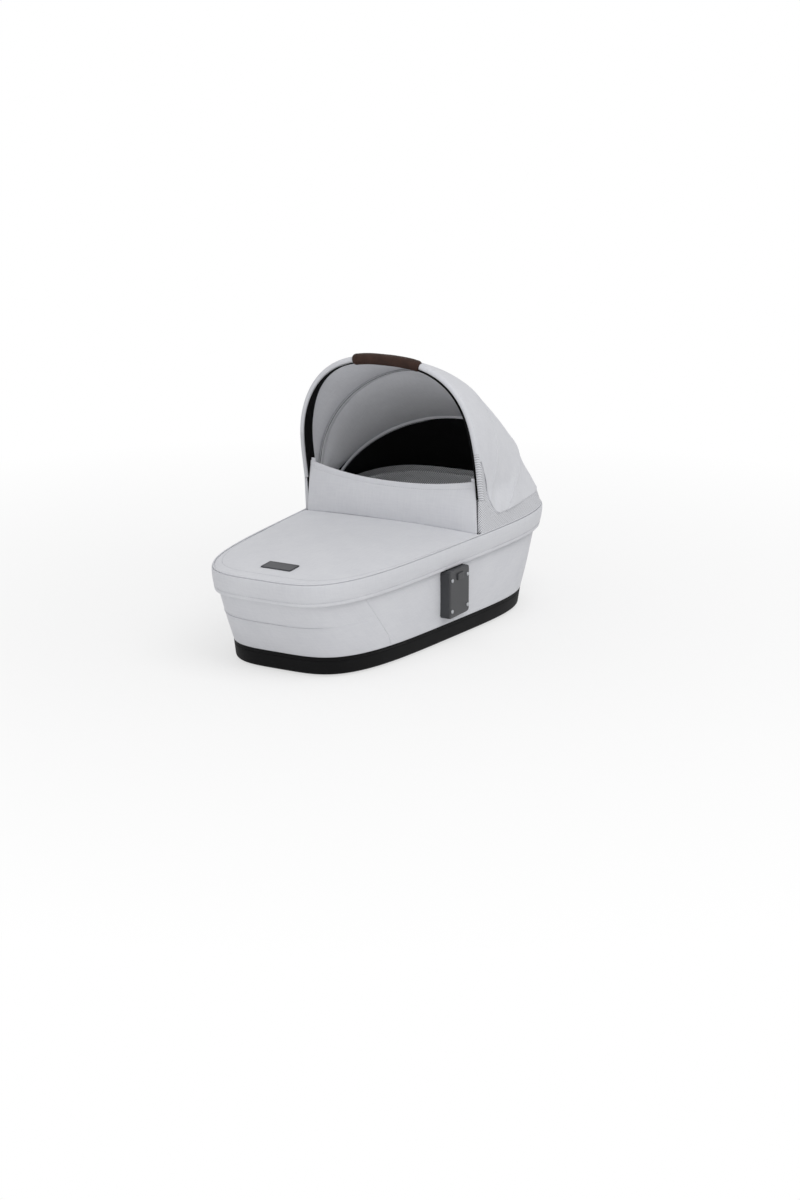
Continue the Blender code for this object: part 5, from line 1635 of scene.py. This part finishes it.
@dataclass(frozen=True)
class HoodCloth:
    """The hood's panels between bow, hoops and skirt, with their piping, pockets and net."""

    columns: int = 241
    thickness: float = 0.0015
    lift: float = 0.00395
    lower: float = 0.217
    foot: float = 0.2173
    sag: float = 0.006
    back_sag: float = 0.004
    shoulder: float = 0.009
    front_swell: float = 0.0090
    rear_swell: float = 0.0080
    corner: float = 0.052
    corner_low: float = 0.024
    corner_share: float = 0.62
    lap: float = 0.0045
    gusset_lap: float = 0.010
    gusset_depth: float = 0.0017
    head_step: float = 0.010
    pocket_rise: float = 0.014
    turn_in: float = 0.004
    skirt_top: float = 0.2470
    skirt_tuck: float = 0.0022

    def shoulders(self) -> Array:
        """Returns 1 at a hoop's shoulders, 0 at its crown and feet: a squared sine of the way."""
        way = np.abs(np.linspace(-1.0, 1.0, self.columns))
        return np.sin(math.pi * way**0.75) ** 2

    def swell(self, share: Array, more: float) -> Array:
        """Returns how far a panel stands off its lining: a slope and a parabola, by shoulders."""
        high = self.shoulder * share + more * 4.0 * share * (1.0 - share)
        return high[:, None] * self.shoulders()[None]

    def bow_edge(self) -> Edge:
        """Finds where the front panel starts, just behind the sleeve and the grip.

        Returns:
            The points, and the step inwards at each.
        """
        points, out = BOW.line(self.columns)
        run = run_length(points)
        start, end, _ = BOW.grip_ends()
        beyond = np.maximum(start - run, run - end)
        wide = 1.0 - smooth(beyond, 0.0, BOW.grip_length / 5.0)
        points = points + 0.0052 * out
        points[:, 1] += BOW.sleeve + SEAM_GAP + (BOW.grip_radius - BOW.sleeve) * wide
        return points, -out

    def skirt_line(self, count: int, start_y: float, z: float, lean: float, inset: float) -> Array:
        """Works out a line round the head end that stands in from the rim.

        Args:
            count: the number of points.
            start_y: where it starts and ends.
            z: its height.
            lean: the share of the step by which it stands in further towards the head.
            inset: how far it stands in all along.

        Returns:
            The points.
        """
        flat, inward = SHAPE.rim.round_head(start_y, count)
        by = inset + self.head_step * smooth(flat[:, 1], 0.15, 0.26) * lean
        return np.column_stack([flat + inward * by[:, None], np.full(count, z)])

    def between(self, first: Edge, last: Edge, rows: int, sag: float, swell: Any = 0.0) -> Array:
        """Lays a sheet between two edges, drawn in by a parabola, less the swell.

        Args:
            first: the first edge.
            last: the last edge.
            rows: the number of rows.
            sag: the parabola's height.
            swell: how far the sheet stands out, for each point.

        Returns:
            The sheet, rows by columns by 3.
        """
        shares = np.linspace(0.0, 1.0, rows)
        share = shares[:, None, None]
        drawn = sag * 4.0 * share * (1.0 - share) - np.asarray(swell)[..., None]
        inward = unit(straight(first[1], last[1], shares))
        return straight(first[0], last[0], shares) + drawn * inward

    def flared(self, points: Array) -> Array:
        """Draws outer cloth out over the skirt and a little down, near its lower edge.

        Both moves fall off upwards by a smooth step. X only grows, up to the skirt's outer face
        plus a cloth and a half.

        Args:
            points: the cloth's points, with x, y and z as the last axis.

        Returns:
            The moved points.
        """
        x, y, z = np.moveaxis(points, -1, 0)
        reach = SHAPE.rim.half_width_at(np.clip(y, -0.39, 0.36)) + 0.0004
        step = smooth(y, 0.15, 0.26) * (1.0 - smooth(y, 0.26, 0.34))
        share = (1.0 - smooth(z, 0.213, 0.262)) * (1.0 - smooth(y, 0.20, 0.26))
        grow = np.maximum(reach - self.head_step * step - np.abs(x), 0.0) * share
        drop = self.lap * (1.0 - smooth(z, self.lower, 0.24))
        return np.stack([x + np.sign(x) * grow, y, z - drop], axis=-1)

    def trimmed(self, grid: Array, low: Array, high: Array, columns: int) -> Array:
        """Cuts each row of a grid to the stretch between two distances along it.

        Args:
            grid: the sheet, rows by columns by 3.
            low: where each row's stretch starts.
            high: where it ends, counted back from the row's end where it isn't above zero.
            columns: the number of points in a row.

        Returns:
            The cut grid.
        """
        rows = []
        for line, start, end in zip(grid, low, high):
            end = end if end > 0.0 else run_length(line)[-1] + end
            rows.append(at_distances(line, np.linspace(start, end, columns)))
        return np.stack(rows)

    def finish(self, piece: Piece, fold: Fold, slot: str, *nodes: str) -> None:
        """Bakes a panel's place into its mesh, works out an angle for each point about the hood's pins that
        nothing uses, and hides the frame's nodes that it stands for. The panel rides on no body and does
        not fold.

        Args:
            piece: the panel.
            fold: its two bodies, named in the log, and their angles.
            slot: its slot in the record; not used.
            nodes: the frame's nodes that it stands for.
        """
        low, high = (math.radians(d) for d in fold.degrees)
        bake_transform(piece)
        points = np.empty(len(piece.data.vertices) * 3, np.float32)
        piece.data.vertices.foreach_get("co", points)
        points = points.reshape(-1, 3) - PIVOT
        base = np.full(len(points), low)
        if fold is BACK_FOLD:
            reach = np.hypot(points[:, 1], points[:, 2])
            base = np.arcsin(np.clip((self.lower - PIVOT[2]) / reach, 0.0, 0.995))
            base = np.minimum(base, high - 0.02)
        if nodes:
            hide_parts(*nodes)
        both = " and ".join(fold.bodies)
        LOG.info("%s: %d faces on %s", piece.name, len(piece.data.polygons), both)

    def creased(self, grid: Array, depth: float, waves: float, reach: float) -> Array:
        """Adds soft pulls at both feet: sines down the panel that fade upwards.

        Args:
            grid: the panel, rows by columns by 3.
            depth: how deep the pulls are.
            waves: the number of half waves down the panel.
            reach: the distance from a foot over which they fade to 1 / e.

        Returns:
            The panel with its pulls.
        """
        run = np.linalg.norm(np.diff(grid, axis=1), axis=2).cumsum(axis=1)
        run = np.pad(run, ((0, 0), (1, 0)))
        near = np.exp(-np.minimum(run, run[:, -1:] - run) / reach)
        share = np.linspace(0.0, 1.0, len(grid))[:, None]
        wave = np.sin(share * math.pi * waves) * np.sin(share * math.pi)
        return grid + grid_normals(grid) * (depth * wave * near)[..., None]

    def gussets(self, end: str, whole: Array, cut: Array, fold: Fold) -> None:
        """Knit patches under the cut-away corners: each row runs a lap further than its cut.

        Args:
            end: the panel's name in the patches' names.
            whole: the uncut panel.
            cut: the length cut from both ends of each of its rows.
            fold: the panel's bodies and angles, passed on to its patches.
        """
        for side in Side:
            part = whole[:, :: int(-side.value)]
            patch = self.trimmed(part, np.zeros(len(part)), cut + self.gusset_lap, 41)
            patch = patch - grid_normals(patch) * side.value * self.gusset_depth
            name, finishes = f"hood_gusset_{end}_{side.label}", [SKIRT_KNIT, HOOD_LINING_PAINTED_LIGHT]
            piece = cloth_sheet(name, patch, 0.0010, finishes, side.value, uv=patch[..., 1:])
            self.finish(piece, fold, FABRIC)
            size = cut_of(patch)
            width, length = size["flat"]
            size["flat"] = (max(0.012, min(width, size["area"] / (0.5 * length))), length)

    def front_panel(self) -> None:
        """Panel from the bow to the middle hoop, with a lap over the bow's sleeve.

        It is cut away in a round corner beside each arm: its rows start at a distance that falls
        by a power of the share back from the bow.
        """
        edge, inward = self.bow_edge()
        last = MID.edge(self.lift, SEAM_GAP, self.foot, self.columns)
        swell = self.swell(np.linspace(0.0, 1.0, 33), self.front_swell)
        panel = self.between((edge, inward), last, 33, self.sag / 2.0, swell)
        bow, out = BOW.line(self.columns)
        share = np.array([0.0, 0.2, 0.45, 0.72])[:, None, None]
        rows, laps = bow + out * (0.0060 - 0.0006 * share), len(share)
        rows[..., 1] += share[..., 0] * (edge[:, 1] - bow[:, 1])
        grid = np.concatenate([rows, panel])
        back = np.clip((np.arange(len(grid)) - laps) / 32.0, 0.0, 1.0)
        cut = self.corner_low + self.corner * (1.0 - back) ** 1.3
        whole = self.flared(grid)
        outer = self.trimmed(whole, cut, -cut, self.columns)
        outer[laps:] = self.creased(outer[laps:], 0.0007, 3.0, 0.07)
        thick = self.thickness + np.pad(swell, ((laps, 0), (0, 0)))
        piece = cloth_sheet("hood_front_cloth", outer, thick, [SHELL_CLOTH, HOOD_LINING_PAINTED_LIGHT])
        self.finish(piece, FRONT_FOLD, FABRIC, "hood_front_panel")
        self.gussets("front", whole[laps:], cut[laps:], FRONT_FOLD)

    def rear_panel(self) -> None:
        """Panel from the middle hoop to the rear hoop, with the rest of the round corner."""
        first = MID.edge(self.lift, -SEAM_GAP, self.foot, self.columns)
        last = REAR.edge(self.lift, SEAM_GAP, self.foot, self.columns)
        share = np.linspace(0.0, 1.0, 45)
        swell = self.swell(1.0 - share, self.rear_swell)
        whole = self.flared(self.between(first, last, len(share), self.sag, swell))
        cut = self.corner_low * np.clip(1.0 - share / self.corner_share, 0.0, 1.0) ** 2.0
        outer = self.trimmed(whole, cut, -np.maximum(cut, 1e-9), self.columns)
        outer = self.creased(outer, 0.0011, 3.0, 0.09)
        thick = self.thickness + swell
        piece = cloth_sheet("hood_rear_cloth", outer, thick, [SHELL_CLOTH, HOOD_LINING_PAINTED_LIGHT])
        self.finish(piece, REAR_FOLD, FABRIC, "hood_rear_panel")
        rows = int((cut > 0.0).sum()) + 1
        self.gussets("rear", whole[:rows], cut[:rows], REAR_FOLD)

    def back_edge(self, inset: float, beyond: float) -> Edge:
        """Works out the hood back's lower edge, from the rear hoop's foot round the head end.

        Args:
            inset: how far it stands in from the rim.
            beyond: how far behind the hoop's foot it starts.

        Returns:
            The points, and the step inwards at each.
        """
        start = float(REAR.edge(self.lift, 0.0, self.foot, 5)[0][0, 1]) + beyond
        low = self.skirt_line(self.columns, start, self.foot, 1.0, inset)
        return low, np.column_stack([-unit(low[:, :2]), np.zeros(len(low))])

    def back_panel(self) -> None:
        """Panel from the rear hoop down over the skirt's upper edge, round the head end."""
        first = REAR.edge(self.lift, -SEAM_GAP, self.foot, self.columns)
        outer = self.flared(self.between(first, self.back_edge(0.0002, 0.0), 33, self.back_sag))
        outer = self.creased(outer, 0.0006, 2.0, 0.06)
        piece = cloth_sheet("hood_back_cloth", outer, self.thickness, [SHELL_CLOTH, BLACK_NET])
        self.finish(piece, BACK_FOLD, FABRIC, "hood_back_panel")

    def net(self) -> None:
        """Black net that hangs from the rear hoop, inside the hood's back."""
        first = REAR.edge(-0.00085, -0.0028, self.lower + 0.004, self.columns)
        outer = self.between(first, self.back_edge(0.0065, 0.0055), 25, self.back_sag / 2.0)
        piece = cloth_sheet("vent_net", outer, 0.001, [BLACK_NET])
        self.finish(piece, BACK_FOLD, "black_mesh", "vent_mesh")

    def pocket(self, half: float) -> Array:
        """Draws a hoop pocket's profile: a soft ridge that falls off to both sides.

        Args:
            half: half the pocket's width.

        Returns:
            The profile, points by 2.
        """
        across = np.linspace(half, -half, 17)
        depth = -0.0010 - 0.0009 * np.exp(-((across / half * 1.5) ** 4))
        top = [[-half, -0.0008], [-half * 0.55, 0.0008], [half * 0.55, 0.0008], [half, -0.0008]]
        return np.vstack([np.column_stack([across, depth]), top])

    def hoop_trim(self) -> None:
        """Outer piping and inner pockets along both hoops, and a piping inside each: light at the rear
        hoop, and at the middle hoop a dark cord of painted seam shadow.
        """
        high = self.foot + self.pocket_rise
        for name, hoop, behind, foot, half, cord in (
            # The middle hoop's inner cord is dark grey: painted shadow of the lining's seam.
            ("mid", MID, 0.0046, self.corner_low, 0.0072, SEAM_SHADOW_CORD),
            ("rear", REAR, -0.0036, 0.016, 0.0040, SHELL_CLOTH),
        ):
            stand = self.shoulder * self.shoulders() * (hoop is MID)
            path, inward = hoop.edge(self.lift - 0.0002 + stand, 0.0, self.foot, self.columns)
            path, run = self.flared(path), run_length(path)
            keep = (run > foot) & (run < run[-1] - foot)
            pieces = [piping(f"{name}_piping", path[keep], -inward[keep], 0.0011, SHELL_CLOTH)]
            path, inward = hoop.edge(0.0, 0.0, high, self.columns)
            skin = Skin()
            swept(skin, path, -inward, self.pocket(half))
            pieces.append(skin.make(f"{name}_pocket", [HOOD_LINING_PAINTED_LIGHT], 60.0))
            path, inward = hoop.edge(-0.0012, behind, high, self.columns)
            pieces.append(piping(f"{name}_inner_piping", path, -inward, 0.0008, cord))
            for piece in pieces:
                settle(piece, f"{name}_hoop", FABRIC)

    def turned_in(self, line: Array, length: float) -> Array:
        """Turns both ends of a line inwards: a quarter circle, then a straight run.

        Args:
            line: the points.
            length: the straight run's length.

        Returns:
            The longer line.
        """
        turn = np.linspace(0.0, math.pi / 2.0, 8)[1:, None]
        ends = []
        for end, beside in ((line[0], line[1]), (line[-1], line[-2])):
            ahead = unit(end - beside)
            inward = np.array([-np.sign(end[0]), 0.0, 0.0])
            bend = end + self.turn_in * ((1.0 - np.cos(turn)) * inward + np.sin(turn) * ahead)
            run = bend[-1] + np.linspace(0.0, length, 5)[1:, None] * inward
            ends.append(np.concatenate([bend, run]))
        return np.concatenate([ends[0][::-1], line, ends[1]])

    def skirt(self) -> None:
        """Knit strip on the rim that rises beside the arms and turns in before them."""
        low = self.skirt_line(401, 0.0735, SHAPE.seam + SEAM_GAP, 0.05, 0.0017)
        high = self.skirt_line(401, 0.0690, self.lower, 1.0, 0.0016)
        low, high = self.turned_in(low, 0.0052), self.turned_in(high, 0.0020)
        behind = smooth(high[:, 1], 0.13, 0.20)[:, None]
        high[:, :2] -= self.skirt_tuck * behind * unit(high[:, :2])
        rise = 1.0 - smooth(high[:, 1], 0.074, 0.108)
        high[:, 2] += rise * (self.skirt_top - self.lower)
        outer = straight(low, high, np.linspace(0.0, 1.0, 15))
        piece = cloth_sheet("skirt", outer, 0.0014, [SKIRT_KNIT, LINING_KNIT_PAINTED_LIGHT], turn=1.0)
        settle(piece, "tub", FABRIC, "hood_skirt")

    def build(self) -> None:
        """Builds and dresses the hood."""
        self.front_panel()
        self.rear_panel()
        self.back_panel()
        self.net()
        self.hoop_trim()
        self.skirt()


# Rigid nodes and the studio


# The finish of each slot in the record.
SLOT_FINISHES: dict[str, Finish] = {
    "black_plastic": BLACK_ABS,
    "dark_grey_plastic": DARK_ABS,
    "frame_plastic": FRAME_NYLON,
    "board_plastic": BOARD_SHEET,
    "foot_rubber": FOOT_RUBBER,
    "tube_aluminium": TUBE_ALUMINIUM,
    "pin_steel": PLATED_STEEL,
    "badge_metal": BADGE_PLATE,
    "brown_leatherette": GRIP_LEATHERETTE,
    FABRIC: SHELL_CLOTH,
    "grey_lining": LINING_KNIT_PAINTED_LIGHT,
    "white_ticking": MATTRESS_TICKING,
    "black_mesh": BLACK_NET,
}


@dataclass(frozen=True)
class CarriedNodes:
    """The rigid pieces of the frame, which keep their shape and get their finish."""

    def build(self) -> None:
        """Assigns each node its finish by its record slot."""
        slots = {part["node"]: part["material_slot"] for part in frame["record"]["subparts"]}
        for name, node in frame["nodes"].items():
            made = SLOT_FINISHES[slots[name]].material()
            for slot in node.material_slots:
                slot.material = made
            LOG.info("%s: %s", name, made.name)


@dataclass(frozen=True)
class Studio:
    """Pale floor, white world, soft lamps and the camera at the photograph's angle."""

    reach: float = 14.0
    paint: str = "EFEFEF"
    paint_roughness: float = 0.95
    fade_from: float = 0.35
    fade_to: float = 1.6
    fade_share: float = 0.62
    sky: float = 0.66
    aim: tuple[float, float, float] = (0.0, 0.0, 0.25)
    lens: float = 90.0
    film: float = 36.0
    place: tuple[float, float, float] = (2.69634, -4.64546, 1.58239)
    right: tuple[float, float, float] = (0.869391, 0.494125, 0.0)
    up: tuple[float, float, float] = (-0.135658, 0.238688, 0.961574)
    back: tuple[float, float, float] = (0.475138, -0.835984, 0.274545)

    def seen(self, tree: bpy.types.NodeTree) -> Any:
        """Finds out who looks: the largest of the ray's marks for eye, gloss and clear body.

        Args:
            tree: the node tree.

        Returns:
            The socket, which is 1 on such rays and 0 on all others.
        """
        ray = add_node(tree, "LightPath").outputs
        share = ray["Is Camera Ray"]
        for kind in ("Is Glossy Ray", "Is Transmission Ray"):
            feeds = {0: share, 1: ray[kind]}
            share = add_node(tree, "Math", feeds, operation="MAXIMUM").outputs[0]
        return share

    def floor(self) -> None:
        """A flat square, pale near the object and white to the eye further out."""
        line = np.linspace(-self.reach, self.reach, 9)
        x, y = np.meshgrid(line, line)
        skin = Skin()
        skin.grid(np.stack([x, y, np.zeros_like(x)], axis=-1))
        made = bpy.data.materials.new("painted_studio_floor")
        made.use_nodes = True
        tree = made.node_tree
        tree.nodes.clear()
        feeds = {"Base Color": linear(self.paint), "Roughness": self.paint_roughness}
        matt = add_node(tree, "BsdfPrincipled", feeds)
        white = add_node(tree, "Emission", {"Color": (1.0, 1.0, 1.0, 1.0)})
        place = add_node(tree, "TexCoord").outputs["Object"]
        far = add_node(tree, "VectorMath", {0: place}, operation="LENGTH").outputs["Value"]
        feeds = {"Value": far, 1: self.fade_from, 2: self.fade_to, 3: self.fade_share, 4: 1.0}
        fade = add_node(tree, "MapRange", feeds).outputs["Result"]
        share = add_node(tree, "Math", {0: fade, 1: self.seen(tree)}, operation="MULTIPLY")
        feeds = {0: share.outputs[0], 1: matt.outputs["BSDF"], 2: white.outputs["Emission"]}
        mixed = add_node(tree, "MixShader", feeds)
        add_node(tree, "OutputMaterial", {"Surface": mixed.outputs["Shader"]})
        piece = skin.make("floor", [], 40.0)
        piece.data.materials.append(made)

    def world(self) -> None:
        """Plain white light from all round, and a white background to the eye."""
        world = bpy.data.worlds.new("studio")
        bpy.context.scene.world = world
        world.use_nodes = True
        tree = world.node_tree
        tree.nodes.clear()
        feeds = {"Value": self.seen(tree), 1: 0.0, 2: 1.0, 3: self.sky, 4: 1.0}
        strength = add_node(tree, "MapRange", feeds)
        feeds = {"Color": (1.0, 1.0, 1.0, 1.0), "Strength": strength.outputs["Result"]}
        sky = add_node(tree, "Background", feeds)
        add_node(tree, "OutputWorld", {"Surface": sky.outputs["Background"]})

    def lamp(self, name: str, place: Sequence[float], size: float, power: float) -> None:
        """Makes a square soft lamp that looks at the middle of the object.

        Args:
            name: its name.
            place: where it stands.
            size: its side.
            power: its power in watts.
        """
        light = bpy.data.lights.new(name, "AREA")
        light.shape, light.size, light.energy = "SQUARE", size, power
        made = bpy.data.objects.new(name, light)
        made.location = place
        view = Vector(self.aim) - Vector(place)
        made.rotation_euler = view.to_track_quat("-Z", "Y").to_euler()
        bpy.context.scene.collection.objects.link(made)

    def camera(self) -> None:
        """A long lens on a small frame, in millimetres, placed by the camera's own axes."""
        data = bpy.data.cameras.new("camera")
        data.lens, data.sensor_width = self.lens, self.film
        data.clip_start, data.clip_end = 0.1, 100.0
        made = bpy.data.objects.new("camera", data)
        columns = np.array([self.right, self.up, self.back, self.place]).T
        made.matrix_world = Matrix(np.vstack([columns, [0.0, 0.0, 0.0, 1.0]]).tolist())
        bpy.context.scene.collection.objects.link(made)
        bpy.context.scene.camera = made

    def build(self) -> None:
        """Builds the studio."""
        bpy.context.scene.view_settings.view_transform = "Standard"
        self.floor()
        self.world()
        self.lamp("key", (1.9, -0.8, 3.3), 2.6, 46.0)
        self.lamp("fill", (1.3, -4.8, 1.0), 3.0, 27.0)
        self.camera()


def main() -> None:
    """Builds the carrycot's pieces in order, from the tub up, and then the studio."""
    logging.basicConfig(level=logging.INFO, format="%(name)s: %(message)s")
    dressed = (Tub(), Bedding(), Apron(), WindFlap(), FrontBow(), HoodCloth())
    for maker in (CarriedNodes(), *dressed, Studio()):
        maker.build()


if __name__ == "__main__":
    main()
